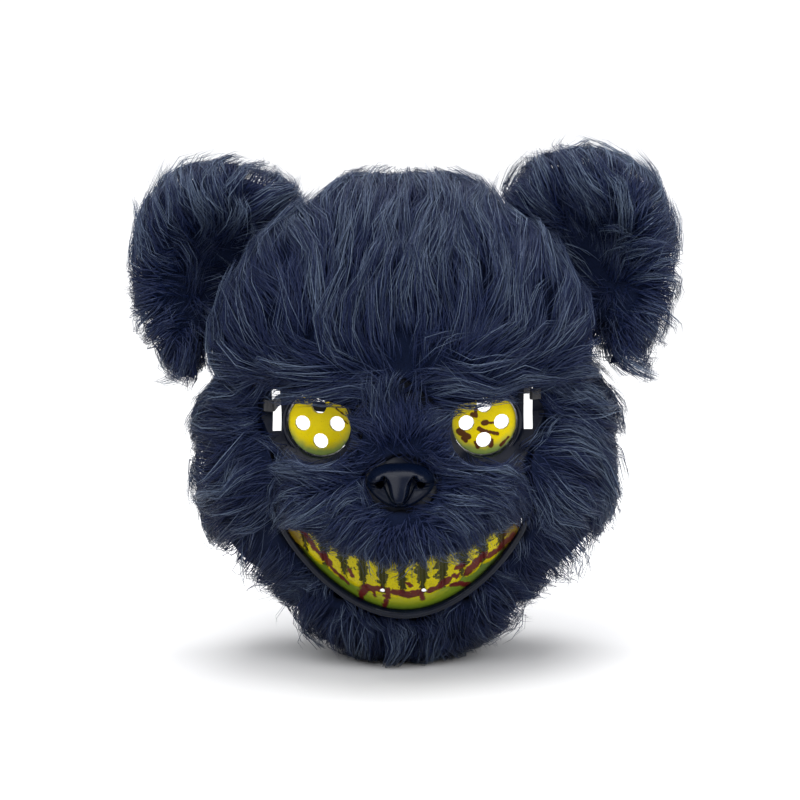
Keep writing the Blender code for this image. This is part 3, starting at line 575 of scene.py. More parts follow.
def way_of(node_name, place, normal, splay=0.0):
    """The way of the fur at each place: away from the panel's source, over the brows
    outwards, turned by a slow swirl and laid flat on the surface."""
    source, steady = LIES[node_name]
    way = unit(place - np.array([0, RIM_Y, 0]) - np.array(source) * MM) + np.array(steady)
    if node_name == "crown_fur":
        x, z = place[:, :1], place[:, 2:]
        crease = np.exp(-((x / (15 * MM)) ** 2))
        brow = np.concatenate([x / (np.abs(x) + 9 * MM), 0.15 + 0 * x, 0.75 * crease - 0.14], -1)
        high = np.clip((z - BROW_BOTTOM) / (BROW_TOP - BROW_BOTTOM), 0, 1)
        way = brow + (way - brow) * high * high * (3 - 2 * high)
    swirl = 0.5 if node_name == "muzzle_fur" else 1.0
    turn = swirl * drift(place, 5, 45 * MM) + 0.6 * drift(place, 6, 18 * MM)
    way = unit(way - normal * (way * normal).sum(-1, keepdims=True))
    way = way * np.cos(turn) + np.cross(normal, way) * np.sin(turn) + splay
    return unit(way - normal * (way * normal).sum(-1, keepdims=True))


def clump_places(node_name, count, rng, edges=False):
    """Places for clumps, chosen evenly over the faces of a fur solid that look out of the
    mask, or over its edges, and the normals of the chosen faces."""
    points, faces = mesh_arrays(NODES[node_name])
    flat = face_normals(points, faces)
    area = np.linalg.norm(flat, axis=1)
    flat = unit(flat)
    middle = points[faces].mean(1)
    looks_out = (flat * unit(middle - HEAD_MIDDLE)).sum(-1)
    if node_name in EARS:
        chosen = nearest_distance(middle, mesh_arrays(NODES["crown_fur"])[0]) > 3 * MM
    elif edges:
        chosen = (np.abs(looks_out) < 0.5) & (middle[:, 1] < RIM_Y - 12 * MM)
    else:
        chosen = (looks_out > 0.05) & (laid(middle, SHELL_SIDE)[2][:, 0] > 2 * MM)
    weight = area * chosen
    pick = rng.choice(len(faces), count, p=weight / weight.sum())
    u, v = rng.random((2, count, 1))
    fold = u + v > 1
    u, v = np.where(fold, 1 - u, u), np.where(fold, 1 - v, v)
    corner = points[faces[pick]]
    place = corner[:, 0] + u * (corner[:, 1] - corner[:, 0]) + v * (corner[:, 2] - corner[:, 0])
    return place, flat[pick]


def walked(node_name, place, side, length, steps, splay=0.0):
    """The course of each clump over the fur: from its place it goes on in equal steps
    along the way of the fur and is laid back onto the surface after each. Gives places,
    normals and ways for every step, and how deep the roots may go."""
    _, _, over_shell = laid(place, SHELL_SIDE)
    deep = 0 * over_shell + ROOT_DEPTH if node_name in EARS else over_shell - 0.6 * MM
    place, normal, _ = laid(place, side, 0.3)
    course = []
    for _ in range(steps + 1):
        way = way_of(node_name, place, normal, splay)
        course.append((place, normal, way))
        hangs = np.clip(-1.2 * normal[:, 2:], 0, 0.5)
        place, normal, _ = laid(place + way * length / steps, side, 0.3 + hangs)
    place, normal, way = (np.stack(part, 1) for part in zip(*course))
    return place, normal, way, np.clip(deep, 0.8 * MM, ROOT_DEPTH)


def strands(name, course, size, rng, material):
    """Tapered strands in clumps. Every strand starts deep in the pile below its clump's
    course, follows the course with its own offset, which narrows to the tip, waves from
    side to side in step with its clump and ends a little proud of the surface. Three
    sides and a shared tip close its form."""
    place, normal, way, deep = course
    clumps, levels, _ = place.shape
    each = STRANDS_IN_CLUMP
    share = np.linspace(0, 1, levels)[:, None]
    normal, way, place = normal[:, None], way[:, None], place[:, None]
    beside = np.cross(normal, way)
    across, along = size["spread"] * rng.normal(size=(2, clumps, each, 1, 1))
    narrow = 1 - size["gather"] * share
    stand = size["proud"] * rng.gamma(0.9, 1.1, (clumps, 1, 1, 1)) * rng.uniform(0.6, 1.2, (clumps, each, 1, 1))
    arch = size["length"] * 0.05 * rng.uniform(0.3, 1.6, (clumps, each, 1, 1))
    stand = TALLEST * np.tanh(stand / TALLEST)
    height = stand * share**1.5 + arch * 4 * share * (1 - share) - 0.6 * MM * (1 - share)
    phase = 5 * drift(place[:, 0, 0], 8, 30 * MM)[:, None, None] + rng.normal(0, 0.5, (clumps, each, 1, 1))
    pace = rng.uniform(3.0, 5.0, (clumps, 1, 1, 1))
    wave = size["wave"] * size["length"] * np.sin(phase + pace * share) * (0.2 + share)
    stray = size["stray"] * rng.normal(size=(clumps, each, 1, 3)) * (0.2 + share)
    path = place + across * narrow * beside + along * narrow * way + height * normal + wave * beside + stray
    last = rng.uniform(0.35, 1.25, (clumps, each, 1))
    path[:, :, -1] = path[:, :, -2] + last * (path[:, :, -1] - path[:, :, -2])
    back = 0.3 * size["length"] / (levels - 1)
    root = path[:, :, :1] - deep[:, None, None] * normal[:, :, :1] - back * way[:, :, :1]
    path = np.concatenate([root, path], 2).reshape(clumps * each, levels + 1, 3)
    own = 1.2 * rng.beta(0.7, 1.8, (clumps, each)) + 0.5 * drift(place[:, 0, 0], 11, 14 * MM)
    # Painted shade of the pile's hollows darkens each strand's own tone.
    own = (own * painted_shade_of(place[:, 0, 0])[:, None]).ravel()
    path, stays = parted(path, rng)
    path, own = path[stays], own[stays]
    taper = np.array([1.0, *(1 - 0.55 * share[:-1, 0] ** 1.5)])
    path[:, :-1, 2] = np.maximum(path[:, :-1, 2], FLOOR_GAP + 0.5 * MM)
    path[:, -1, 2] = np.maximum(path[:, -1, 2], FLOOR_GAP)
    run = unit(path[:, -1] - path[:, 0])
    first = unit(np.cross(run, rng.normal(size=run.shape)))
    turn = (np.arange(3) * 2 * np.pi / 3)[None, None, :, None]
    ring = first[:, None, None] * np.cos(turn) + np.cross(run, first)[:, None, None] * np.sin(turn)
    girth = size["girth"] * rng.uniform(0.6, 1.4, (len(path), 1, 1, 1)) / 2
    rings = path[:, :-1, None] + ring * girth * taper[None, :, None, None]
    points = np.concatenate([rings.reshape(len(path), 3 * levels, 3), path[:, -1:]], 1)
    side = np.arange(3)
    beyond = (side + 1) % 3
    faces = [np.array([[2, 1, 0]])]
    for r in range(0, 3 * levels - 3, 3):
        faces.append(np.stack([side + r, beyond + r, beyond + r + 3], -1))
        faces.append(np.stack([side + r, beyond + r + 3, side + r + 3], -1))
    top = 3 * levels
    faces.append(np.stack([side + top - 3, beyond + top - 3, np.full(3, top)], -1))
    faces = np.concatenate(faces)[None] + (top + 1) * np.arange(len(path))[:, None, None]
    piece = new_piece(name, points.reshape(-1, 3), faces.reshape(-1, 3), material)
    # Painted shade: each strand's tone falls towards its root, where it enters the pile.
    light = np.array([0.05, 0.45, *np.ones(levels - 1)])
    light = np.append(np.repeat(light[:-1], 3), light[-1])
    set_tone(piece, np.clip(size["tone"] * own[:, None] * light, 0, 1))
    return piece


# Layers of hair: steps of its course, share of the length, proud mm, girth mm, spread mm,
# gather, wave as a share of the length, stray mm and tone
LAYERS = {
    "long_hair": (3, 1.0, 4.0, 0.31, 3.4, 0.86, 0.06, 0.6, 1.0),
    "underfur": (1, 0.42, 0.9, 0.45, 3.4, 0.4, 0.02, 0.8, 0.55),
    "edge_hair": (2, 0.36, 1.2, 0.32, 2.4, 0.4, 0.04, 0.6, 0.8),
}


def cover_with_fur(node_name, pile, seed):
    """The layers of one panel's or ear's hair. Long hair is drawn together into locks:
    each clump bends towards the course of the nearest lock."""
    rng = np.random.default_rng(seed)
    *counts, length = CLUMPS[node_name]
    side = outer_side([node_name]) if node_name in EARS else HEAD_SIDE
    for layer, count in zip(LAYERS, counts):
        if count == 0:
            continue
        steps, reach, proud, girth, spread, gather, wave, stray, tone = LAYERS[layer]
        place, flat = clump_places(node_name, count, rng, layer == "edge_hair")
        span = length * reach * MM
        splay = 0.9 * flat if layer == "edge_hair" else 0.0
        if layer == "edge_hair":
            back = way_of(node_name, place, flat) * rng.uniform(-5 * MM, 8 * MM, (count, 1))
            place = place - back
        course = list(walked(node_name, place, side, span, steps, splay))
        if layer == "long_hair":
            locks = course[0][: int(count * LOCKS_SHARE)]
            nearest = ((course[0][:, None, 0] - locks[None, :, 0]) ** 2).sum(-1).argmin(1)
            pull = 0.55 * np.linspace(0, 1, steps + 1)[:, None] ** 1.3
            course[0] = course[0] + pull * (locks[nearest] - course[0])
        size = {
            "length": span,
            "proud": proud * MM * (1.5 if node_name in EARS else 1.0),
            "girth": girth * MM,
            "spread": spread * MM,
            "gather": gather,
            "wave": wave,
            "stray": stray * MM,
            # Painted light: lifts the hair of the panels that the lamps light less.
            "tone": tone * PAINTED_PANEL_LIGHT.get(node_name, 1.3),
        }
        piece = strands(f"{node_name}_{layer}", course, size, rng, pile)


def eye_facts(node_name):
    """The middle of an eye disc and the unit vectors of its plane: across, up, forward."""
    points, _ = mesh_arrays(NODES[node_name])
    middle = (points.max(0) + points.min(0)) / 2
    _, _, axes = np.linalg.svd(points - points.mean(0), full_matrices=False)
    forward = axes[2] * (-1 if axes[2][1] > 0 else 1)
    across = unit(np.cross(forward, (0, 0, 1.0)) * -1)
    return middle, across, np.cross(across, -forward), forward


def wall_faces(across, along):
    """Quads of a closed band: across runs round it, and along closes on itself too."""
    i, j = np.meshgrid(np.arange(across), np.arange(along), indexing="ij")
    i, j = i.ravel(), j.ravel()
    beside, beyond = (i + 1) % across, (j + 1) % along
    return np.stack([i * along + j, beside * along + j, beside * along + beyond, i * along + beyond], -1)


def outward(piece):
    """Turns the faces of a closed piece outwards, by the sign of its volume."""
    mesh = piece.data
    points = np.empty(len(mesh.vertices) * 3, np.float32)
    mesh.vertices.foreach_get("co", points)
    points = points.reshape(-1, 3).astype(float)
    mesh.calc_loop_triangles()
    corners = np.empty(len(mesh.loop_triangles) * 3, np.int32)
    mesh.loop_triangles.foreach_get("vertices", corners)
    a, b, c = (points[corners.reshape(-1, 3)[:, k]] for k in range(3))
    if (a * np.cross(b, c)).sum() < 0:
        mesh.flip_normals()
    return piece


# Section of a socket's rim: distance from the eye's middle and from its disc, mm
RIM_SECTION = (
    (17.75, -0.6), (17.72, 1.6), (17.95, 2.8), (18.45, 3.45), (19.1, 3.6), (19.8, 3.35),
    (20.25, 2.7), (20.4, 1.6), (20.4, -0.6), (20.0, -2.2), (18.4, -2.2),
)


def socket_rim(name, node_name, material):
    """A smooth rounded ring round an eye disc: its section turned about the eye's axis."""
    middle, across, up, forward = eye_facts(node_name)
    section = np.array(RIM_SECTION) * MM
    turn = np.linspace(0, 2 * np.pi, 96, endpoint=False)[:, None, None]
    outwards = np.cos(turn) * across + np.sin(turn) * up
    points = middle + section[None, :, :1] * outwards + section[None, :, 1:] * forward
    faces = wall_faces(96, len(section))
    return outward(new_piece(name, points.reshape(-1, 3), faces, material))


# Dark red marks on the right eye: start and end of each stroke and its radius, mm from
# the middle of the disc
RIGHT_EYE_MARKS = (
    ((0.0, -0.2), (1.2, -0.3), 1.5),
    ((1.2, -0.3), (5.6, -0.3), 0.7),
    ((-2.6, -3.4), (-1.0, -4.2), 1.3),
    ((-1.6, -3.9), (7.4, -6.5), 0.9),
    ((-13.4, -4.2), (-8.6, -7.4), 1.7),
    ((-11.2, -7.6), (-9.6, -9.4), 1.1),
    ((-6.4, 4.6), (-4.6, 3.9), 1.4),
    ((-4.9, 5.2), (-3.9, 8.6), 0.8),
    ((4.2, -10.2), (3.6, -12.6), 1.3),
    ((-4.6, -10.4), (-3.2, -13.0), 1.0),
    ((9.0, -12.8), (13.2, -8.4), 0.7),
)
LEFT_EYE_MARKS = (
    ((13.2, 5.2), (9.4, 8.4), 0.35),
    ((12.4, 2.6), (15.2, 0.4), 0.3),
)


def eye_paint(name, node_name, marks):
    """Sprayed yellow that turns green and grey to the lower rim, with fine dark specks
    and dark red marks."""
    middle, across, up, forward = eye_facts(node_name)
    paint = Paint(name, Specular_IOR_Level=0.06)
    place = paint.place()
    u, v = paint.along(place, middle, across), paint.along(place, middle, up)
    distance = (u * u + v * v).root()
    mottle = paint.noise(place, 260.0, 3.0)
    shade = paint.step(distance - v * 0.42 + mottle * 5.0, 17.2, 25.0)
    colour = paint.mix(mottle, (0.58, 0.45, 0.0), (0.72, 0.57, 0.0))
    colour = paint.mix(shade, colour, (0.16, 0.22, 0.055))
    colour = paint.mix(paint.step(distance + mottle * 1.6, 16.9, 18.4) * 0.8, colour, (0.05, 0.07, 0.03))
    specks = paint.noise(place, 1900.0, 2.0, 0.7)
    colour = paint.mix(paint.step(specks, 0.64, 0.72) * 0.55, colour, (0.10, 0.09, 0.01))
    wobble = (paint.noise(place, 420.0, 3.0) - 0.5) * 1.6
    mark = paint.step(paint.strokes(u, v, marks) + wobble, 0.35, -0.25)
    colour = paint.mix(mark * 0.96, colour, (0.055, 0.006, 0.005))
    colour = paint.mix(paint.behind(), colour, (0.006, 0.007, 0.010))
    grain = paint.bump(mottle * 0.5 + mark * 0.6, 0.0005, 0.5)
    return paint.set(Base_Color=colour, Roughness=0.2 + mark * 0.16, Normal=grain)


def smooth_step(value):
    """0 below 0, 1 above 1, and smooth between them."""
    value = np.clip(value, 0, 1)
    return value * value * (3 - 2 * value)


def turned_faces(spokes, rows):
    """Triangles of a grid that closes round its spokes, with a fan round a further point
    at each end of the rows."""
    i, j = (index.ravel() for index in np.meshgrid(np.arange(spokes), np.arange(rows - 1), indexing="ij"))
    a, b = i * rows + j, (i + 1) % spokes * rows + j
    start = np.arange(spokes) * rows
    end = (start + rows) % (spokes * rows)
    hub = np.full(spokes, spokes * rows)
    return np.concatenate([
        np.stack([a, b, b + 1], -1),
        np.stack([a, b + 1, a + 1], -1),
        np.stack([end, start, hub], -1),
        np.stack([start + rows - 1, end + rows - 1, hub + 1], -1),
    ])


def pierced(piece, centres, radius):
    """Cuts round bores through a piece along Y."""
    turn = np.arange(32) * np.pi / 16
    rows = np.array([-0.05, 0.05])
    circle = np.stack([radius * np.cos(turn), 0 * turn, radius * np.sin(turn)], -1)
    for number, centre in enumerate(centres):
        wall = circle[:, None] + centre + rows[None, :, None] * (0, 1, 0)
        ends = np.array([centre, centre]) + rows[:, None] * (0, 1, 0)
        points = np.concatenate([wall.reshape(-1, 3), ends])
        cutter = outward(new_piece(f"{piece.name}_bore_{number}", points, turned_faces(32, 2), None))
        cut = piece.modifiers.new("bore", "BOOLEAN")
        cut.operation, cut.solver, cut.object = "DIFFERENCE", "EXACT", cutter
        seen = piece.evaluated_get(bpy.context.evaluated_depsgraph_get())
        mesh = bpy.data.meshes.new_from_object(seen)
        piece.modifiers.clear()
        piece.data = mesh
        bpy.data.objects.remove(cutter)
    return piece


def nose_height(u, v, share):
    """How far the nose stands forward, in mm, at u across and v up from its middle and at
    a share of the way to its edge. A tongue of pad widens upwards into a bar with a round
    wing at each end; a groove runs round the tongue and opens into a nostril under each
    wing, and the groove's outer side is a fine raised line on the low plate beside it."""
    aside = np.abs(u + 0.4)
    half = 1.5 + 1.9 * np.sqrt(np.clip(v + 7.6, 0, 20) / 3) + 0.10 * np.clip(v - 1.0, 0, 9) ** 2
    pad = smooth_step((half - aside) / 2.2 + 0.5) * smooth_step((v + 8.6) / 1.8)
    bar = smooth_step((v - 5.6) / 2.4 + 0.5) * smooth_step((17.5 - aside) / 4.0)
    wing = smooth_step(2.2 - 1.7 * np.hypot((aside - 13.6) / 6.0, (v - 6.3) / 4.9))
    body = 1 - (1 - pad) * (1 - bar) * (1 - wing)
    line = np.minimum(-8.4 + 0.32 * np.clip(aside - 1.5, 0, 9) ** 1.75, -0.6 + 0.05 * (aside - 8))
    plate = smooth_step((line - v) / 1.6 + 0.6)
    ridge = np.exp(-(((line - v - 0.2) / 0.7) ** 2))
    humps = 4.2 * np.exp(-(((aside - 12.8) / 4.2) ** 2) - ((v - 5.4) / 3.6) ** 2)
    humps = humps + 0.7 * np.exp(-((aside / 4.6) ** 2) - ((v - 1.0) / 9.0) ** 2)
    top = 10.6 + humps - 0.05 * np.clip(v - 6.0, 0, 6) ** 2
    low = 5.0 + 2.4 * plate + 1.3 * ridge - 0.05 * aside
    height = low + (np.maximum(top, low) - low) * body
    return 0.6 + height * np.sqrt(np.clip(1 - 0.98 * share**6, 0, 1))


def nose_pad(material):
    """The nose, a height over the face inside its rounded outline, closed behind."""
    spokes, rings = 128, 44
    turn = (np.arange(spokes) * 2 * np.pi / spokes)[:, None]
    share = np.linspace(0, 1, rings + 1)[1:] ** 0.8
    share = np.concatenate([share, share[::-4]])[None]
    front = np.arange(share.shape[1])[None] < rings
    width = NOSE_HALF_WIDTH * (0.93 + 0.07 * np.sin(turn))
    edge_x = width * np.sign(np.cos(turn)) * np.abs(np.cos(turn)) ** 0.8
    edge_x = edge_x * (1 - 0.3 * np.clip(-np.sin(turn), 0, 1) ** 1.5)
    x, up = share * edge_x, share * NOSE_HALF_HEIGHT * np.sin(turn)
    points = on_face(x, FACE_Z - NOSE_DROP + up, NOSE_SEAT)
    points[..., 1] -= MM * np.where(front, nose_height(x / MM, up / MM, share), 0)
    hubs = np.tile(on_face(0.0, FACE_Z - NOSE_DROP, NOSE_SEAT), (2, 1))
    hubs[0, 1] -= MM * nose_height(0.0, 0.0, 0.0)
    faces = turned_faces(spokes, share.shape[1])
    nose = outward(new_piece("nose_pad", np.concatenate([points.reshape(-1, 3), hubs]), faces, material))
    bore_z = FACE_Z - NOSE_DROP + 0.13 * NOSE_HALF_HEIGHT
    sides = np.array([-0.5, 0.5]) * NOSTRIL_SPACING
    pierced(nose, [np.array([x, DOME_EDGE_Y - DOME_DEPTH, bore_z]) for x in sides], NOSTRIL_RADIUS)
    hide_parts("nose")
    return nose


def teeth_and_gum(material):
    """The teeth in relief: rounded columns side by side whose lower ends are round too,
    over a smooth gum, with two small air holes. The grid closes behind."""
    columns, rows = 300, 30
    across = np.arcsin(np.linspace(-1, 1, columns)[:, None] * np.sin(np.radians(84)))
    level = np.sin(np.linspace(-1, 1, rows) * QUARTER * 0.999)[None]
    x = (MOUTH_HALF_WIDTH - 0.3 * MM) * np.sin(across) + 0 * level
    v = level * (MOUTH_OPENING / 2 - 0.45 * MM) * np.cos(across)
    z = FACE_Z - MOUTH_DROP + MOUTH_GRIN * (x / MOUTH_HALF_WIDTH) ** 2 + v
    beside = np.abs(np.sin(np.pi * x / MM / TOOTH_PITCH))
    crown = smooth_step((beside - 0.06) / 0.5) * smooth_step((v / MM - GUM_LINE + 2.0 * beside - 1.0) / 1.6)
    swell = 0.35 * np.exp(-(((v / MM - GUM_LINE - 6) / 6) ** 2))
    front, back = on_face(x, z), on_face(x, z)
    front[..., 1] += TEETH_RECESS - TOOTH_RELIEF * crown * (1 + swell)
    back[..., 1] += TEETH_RECESS + TEETH_THICKNESS
    points = np.concatenate([front, back[:, ::-1]], 1)
    faces = wall_faces(columns, 2 * rows)[: (columns - 1) * 2 * rows]
    ends = []
    for at in (0, (columns - 1) * 2 * rows):
        k = at + np.arange(rows - 1)
        ends.append(np.stack([k, k + 1, at + 2 * rows - 2 - (k - at), at + 2 * rows - 1 - (k - at)], -1))
    ends[0] = ends[0][:, ::-1]
    faces = np.concatenate([faces, *ends])
    teeth = outward(new_piece("teeth_and_gum", points.reshape(-1, 3), faces, material))
    hole_z = FACE_Z - MOUTH_DROP - 0.1 * MOUTH_OPENING
    sides = np.array([-0.5, 0.5]) * GUM_HOLE_SPACING
    pierced(teeth, [on_face(x, hole_z) for x in sides], GUM_HOLE_RADIUS)
    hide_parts("teeth_plate")
    return teeth


# Dark red marks on the teeth and the gum: x and height over the middle of the mouth's
# opening at the start and the end of each stroke, and its radius, mm
MOUTH_MARKS = (
    ((-52.9, 5.8), (-46.5, 1.0), 1.9),
    ((-46.5, 1.0), (-39.5, -3.0), 1.7),
    ((-39.5, -3.0), (-33.0, -7.2), 1.3),
    ((-41.2, 1.1), (-38.4, -1.0), 1.2),
    ((-34.0, -5.5), (-30.5, -8.0), 0.9),
    ((-18.5, -4.6), (-12.6, -3.4), 1.9),
    ((-20.0, -6.2), (-22.4, -11.0), 1.9),
    ((-22.4, -11.0), (-23.2, -15.6), 1.1),
    ((-15.6, -7.0), (-15.2, -9.4), 0.8),
    ((-7.7, -2.4), (-8.6, -8.0), 1.3),
    ((-8.6, -8.0), (-10.3, -15.0), 1.0),
    ((-4.7, -3.2), (-0.8, -4.4), 1.7),
    ((-0.8, -4.4), (4.3, -6.0), 2.0),
    ((4.3, -6.0), (8.3, -4.4), 2.1),
    ((9.5, -5.2), (9.8, -9.6), 1.0),
    ((14.8, -4.8), (19.4, -4.4), 2.0),
    ((19.4, -4.4), (23.4, -2.4), 2.1),
    ((25.3, -7.1), (30.0, -9.8), 1.1),
    ((30.0, -9.8), (34.2, -13.6), 0.9),
    ((34.6, -3.8), (38.6, -2.1), 2.7),
    ((38.6, -2.1), (41.9, -0.9), 2.4),
    ((28.0, 2.6), (31.3, 1.4), 1.3),
    ((26.7, -1.1), (28.6, -3.2), 1.0),
    ((45.9, -3.4), (51.2, -3.9), 1.8),
    ((51.2, -3.9), (57.6, -3.4), 1.9),
    ((3.0, 2.2), (4.2, 0.2), 0.9),
    ((-28.0, 1.2), (-27.0, -1.4), 0.9),
)


def teeth_paint():
    """Sprayed yellow teeth with dark gaps, a lime gum that is yellower at the middle and
    greyer at the right, and dark red marks that run down from the gum's edge."""
    paint = Paint("painted_teeth", Specular_IOR_Level=0.09)
    place = paint.place()
    u, z = paint.part(place, "X") / MM, paint.part(place, "Z") / MM
    v = z - (FACE_Z - MOUTH_DROP) / MM - u * u * (MOUTH_GRIN / MOUTH_HALF_WIDTH**2 * MM)
    mottle = paint.noise(place, 300.0, 3.0)
    fine = paint.noise(place, 1500.0, 3.0, 0.7)
    beside = (u * (np.pi / TOOTH_PITCH)).sine()
    beside = (beside * beside).root()
    tooth = paint.mix(mottle, (0.26, 0.22, 0.001), (0.52, 0.44, 0.002))
    wide = 0.28 + paint.step(v + (fine - 0.5) * 5.0, -6.0, 6.0) * 0.5
    gap = paint.step(wide - beside + (mottle - 0.5) * 2.3, -0.1, 0.12)
    tooth = paint.mix(gap * 0.94, tooth, (0.008, 0.011, 0.008))
    tooth = paint.mix(paint.step(fine, 0.5, 0.7) * 0.6, tooth, (0.06, 0.065, 0.004))
    middle = paint.step((u * u).root() + mottle * 14.0, 36.0, 14.0)
    gum = paint.mix(middle * paint.step(v, -15.0, -8.0), (0.085, 0.13, 0.010), (0.27, 0.27, 0.003))
    gum = paint.mix(paint.step(u + mottle * 10.0, 34.0, 52.0) * 0.7, gum, (0.055, 0.08, 0.03))
    gum = paint.mix(paint.step(v + mottle * 3.0, -13.0, -15.5) * 0.6, gum, (0.03, 0.05, 0.012))
    edge = v + beside * 2.0 + (mottle - 0.5) * 3.0
    colour = paint.mix(paint.step(edge, GUM_LINE - 0.4, GUM_LINE + 1.6), gum, tooth)
    wobble = (paint.noise(place, 330.0, 3.0) - 0.55) * 4.4
    mark = paint.step(paint.strokes(u, v, MOUTH_MARKS) + wobble, 0.4, -0.3)
    red = paint.mix(fine, (0.045, 0.003, 0.004), (0.085, 0.008, 0.010))
    colour = paint.mix(mark * 0.98, colour, red)
    corner = paint.step((u * u).root() + mottle * 5.0, 52.0, 59.0)
    colour = paint.mix(corner * 0.8, colour, (0.045, 0.012, 0.008))
    colour = paint.mix(paint.behind(), colour, (0.006, 0.007, 0.010))
    grain = paint.bump(mottle * 0.5 + mark * 0.5, 0.0006, 0.5)
    return paint.set(Base_Color=colour, Roughness=0.2 + mark * 0.1, Normal=grain)


LIP_STATIONS, LIP_SIDES = 140, 20


def lower_lip(material):
    """The rounded lip, swept along the mouth's lower edge: its radius swells from the
    corners to the middle as the root of a half wave."""
    along = np.linspace(0, 1, LIP_STATIONS)
    angle = np.pi * (0.985 + 1.03 * along)
    radius = LIP_RADIUS * (0.36 + 0.34 * np.sin(np.pi * np.clip(along, 0.0005, 0.9995)) ** 0.5)
    x, z = mouth_outline(angle, 0.1 * LIP_RADIUS)
    middle = on_face(x, z, 0.5 * LIP_RADIUS)
    run = unit(np.gradient(middle, axis=0))
    front = unit(np.cross(np.cross(run, (0, -1.0, 0)), run))
    beside = np.cross(run, front)
    turn = (np.arange(LIP_SIDES) * 2 * np.pi / LIP_SIDES)[:, None, None]
    ends = np.minimum(np.minimum(along, 1 - along) / 0.006, 1)
    radius = radius * np.sqrt(np.clip(ends * (2 - ends), 0.0004, 1))
    points = middle + (front * np.cos(turn) + beside * np.sin(turn)) * radius[:, None]
    i, j = np.meshgrid(np.arange(LIP_SIDES), np.arange(LIP_STATIONS - 1), indexing="ij")
    i, j = i.ravel(), j.ravel()
    beside_i = (i + 1) % LIP_SIDES
    faces = np.stack([i * LIP_STATIONS + j, beside_i * LIP_STATIONS + j, beside_i * LIP_STATIONS + j + 1,
                      i * LIP_STATIONS + j + 1], -1)
    side = np.arange(LIP_SIDES) * LIP_STATIONS
    quads = [faces]
    for end in (0, LIP_STATIONS - 1):
        ring = side + end
        half = LIP_SIDES // 2
        k = np.arange(half - 1)
        quads.append(np.stack([ring[k], ring[k + 1], ring[LIP_SIDES - 2 - k], ring[LIP_SIDES - 1 - k]], -1))
    return outward(new_piece("lower_lip", points.reshape(-1, 3), np.concatenate(quads), material))


def floor_and_light():
    """A white floor that turns up into a backdrop and glows by its own emission away from the mask but not near
    it, a painted soft shadow round the mask; soft light and a dimmer room.
    """
    paint = Paint("white_floor", Specular_IOR_Level=0.1, Emission_Strength=0.5)
    paper = paint.noise(paint.place(), 3.0, 2.0)
    floor_colour = paint.mix(paper, (0.54, 0.54, 0.55), (0.57, 0.57, 0.57))
    place = paint.place()
    x, y, z = (paint.part(place, axis) for axis in "XYZ")
    x, y = x / 0.25, (y + 0.06) / 0.55
    # Painted light and shadow: the floor glows white away from the mask and not near it, which paints a soft
    # shadow pool round the mask.
    painted_glow_and_shadow = paint.step((x * x + y * y + z * z).root(), 0.35, 1.25)
    painted_glow_and_shadow = paint.mix(painted_glow_and_shadow, (0.0, 0.0, 0.0), (1.0, 1.0, 1.0))
    material = paint.set(Base_Color=floor_colour, Emission_Color=painted_glow_and_shadow, Roughness=0.8)
    run = np.linspace(0, 1, 60)
    turn = np.clip((run - 0.5) / 0.3, 0, 1) * QUARTER
    y = -2.5 + 4.5 * np.minimum(run / 0.5, 1) + 0.8 * np.sin(turn)
    z = 0.8 * (1 - np.cos(turn)) + 6.0 * np.clip((run - 0.8) / 0.2, 0, 1)
    x = np.array([-4.0, 4.0])
    points = np.stack([np.repeat(x, len(run)), np.tile(y, 2), np.tile(z, 2)], -1)
    k = np.arange(len(run) - 1)
    faces = np.stack([k, k + len(run), k + len(run) + 1, k + 1], -1)
    mesh = bpy.data.meshes.new("floor")
    mesh.from_pydata(points.tolist(), [], faces.tolist())
    mesh.shade_smooth()
    mesh.materials.append(material)
    floor = bpy.data.objects.new("floor", mesh)
    bpy.context.scene.collection.objects.link(floor)
    world = bpy.data.worlds.new("soft_room")
    world.use_nodes = True
    world.node_tree.nodes["Background"].inputs["Color"].default_value = (0.94, 0.96, 1.0, 1)
    world.node_tree.nodes["Background"].inputs["Strength"].default_value = 0.5
    bpy.context.scene.world = world
    lights = (
        ("key", (-0.7, -1.0, 1.25), 1.3, 24.0),
        ("fill", (1.1, -0.9, 0.8), 1.2, 19.0),
        ("top", (0.1, 0.0, 1.5), 1.5, 36.0),
    )
    aim = Vector((0, 0, 0.13))
    for name, place, size, power in lights:
        lamp = bpy.data.lights.new(name, "AREA")
        lamp.size, lamp.energy = size, power
        holder = bpy.data.objects.new(name, lamp)
        holder.location = place
        holder.rotation_euler = (aim - Vector(place)).to_track_quat("-Z", "Y").to_euler()
        bpy.context.scene.collection.objects.link(holder)


def set_camera():
    """The camera stands a little to the right and above, level with the brow, and is
    turned a touch about its own axis."""
    azimuth, elevation, roll = np.radians((2.0, 8.0, 0.7))
    distance = 1.0
    target = Vector((0, RIM_Y - 70 * MM, 137 * MM))
    back = Vector(
        (np.sin(azimuth) * np.cos(elevation), -np.cos(azimuth) * np.cos(elevation), np.sin(elevation))
    )
    right = (-back).cross(Vector((0, 0, 1))).normalized()
    up = right.cross(-back)
    across = np.cos(roll) * right - np.sin(roll) * up
    above = np.cos(roll) * up + np.sin(roll) * right
    camera = bpy.data.cameras.new("camera")
    camera.sensor_width = 36.0
    mm_per_pixel, image_width = 0.53, 800
    camera.lens = camera.sensor_width * (distance / MM) / mm_per_pixel / image_width
    target_x, target_y = 402.4, 421.75
    camera.shift_x = (image_width / 2 - target_x) / image_width
    camera.shift_y = (target_y - image_width / 2) / image_width
    holder = bpy.data.objects.new("camera", camera)
    turn = Matrix((across, above, back)).transposed()
    holder.matrix_world = Matrix.Translation(target + distance * back) @ turn.to_4x4()
    bpy.context.scene.collection.objects.link(holder)
    bpy.context.scene.camera = holder


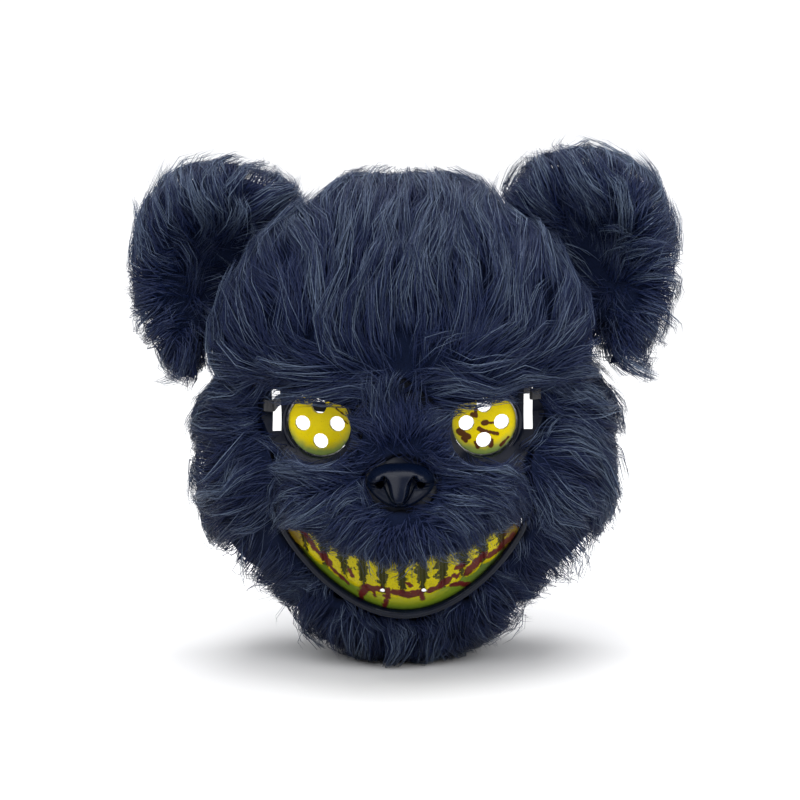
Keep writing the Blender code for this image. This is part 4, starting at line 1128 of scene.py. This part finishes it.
def smooth_copy(name, node_name, material, sharp=35.0):
    """A CAD node's own form with its corners merged and its round faces shaded smooth."""
    points, faces = mesh_arrays(NODES[node_name])
    piece = new_piece(name, points, faces, material)
    piece.data.set_sharp_from_angle(angle=np.radians(sharp))
    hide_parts(node_name)
    return piece


def moulded_face(material):
    """The shell with its lip's front drawn back a little below the finer lip."""
    points, faces = mesh_arrays(NODES["mask_shell"])
    x, z = mouth_outline(np.linspace(np.pi, 2 * np.pi, 200), 0.35 * LIP_RADIUS)
    middle = on_face(x, z, 0.2 * LIP_RADIUS)
    near = np.clip(1.5 - nearest_distance(points, middle) / LIP_RADIUS, 0, 1)
    in_front = points[:, 1] < on_face(points[:, 0], points[:, 2])[:, 1] + 0.5 * MM
    from_corner = np.clip((MOUTH_HALF_WIDTH - np.abs(points[:, 0])) / (12 * MM), 0, 1)
    points[:, 1] += 2.6 * MM * near * in_front * from_corner
    piece = new_piece("moulded_face", points, faces, material)
    piece.data.set_sharp_from_angle(angle=np.radians(35.0))
    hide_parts("mask_shell")
    return piece


def dress():
    backing = backing_paint()
    pile = fur_paint("long_pile", (0.0014, 0.0066, 0.037), (0.086, 0.117, 0.172))
    for seed, node_name in enumerate((*HEAD_PANELS, *EARS)):
        skin = undercoat(f"{node_name}_undercoat", node_name, backing)
        cover_with_fur(node_name, pile, 100 + seed)
    black = black_paint("gloss_black_moulding", 0.15, 0.2)
    satin = black_paint("satin_black_moulding", 0.3, 0.1)
    moulded_face(satin)
    lower_lip(black)
    nose_pad(black_paint("nose_moulding", 0.26, 0.11))
    for side, marks in (("left", LEFT_EYE_MARKS), ("right", RIGHT_EYE_MARKS)):
        disc = f"eye_disc_{side}"
        NODES[disc].data.materials[0] = eye_paint(f"{side}_eye_paint", disc, marks)
        socket_rim(f"socket_rim_{side}", disc, black)
    teeth_and_gum(teeth_paint())
    smooth_copy("woven_strap", "elastic_strap", strap_paint())


dress()
floor_and_light()
set_camera()
bpy.context.scene.view_settings.view_transform = "Standard"
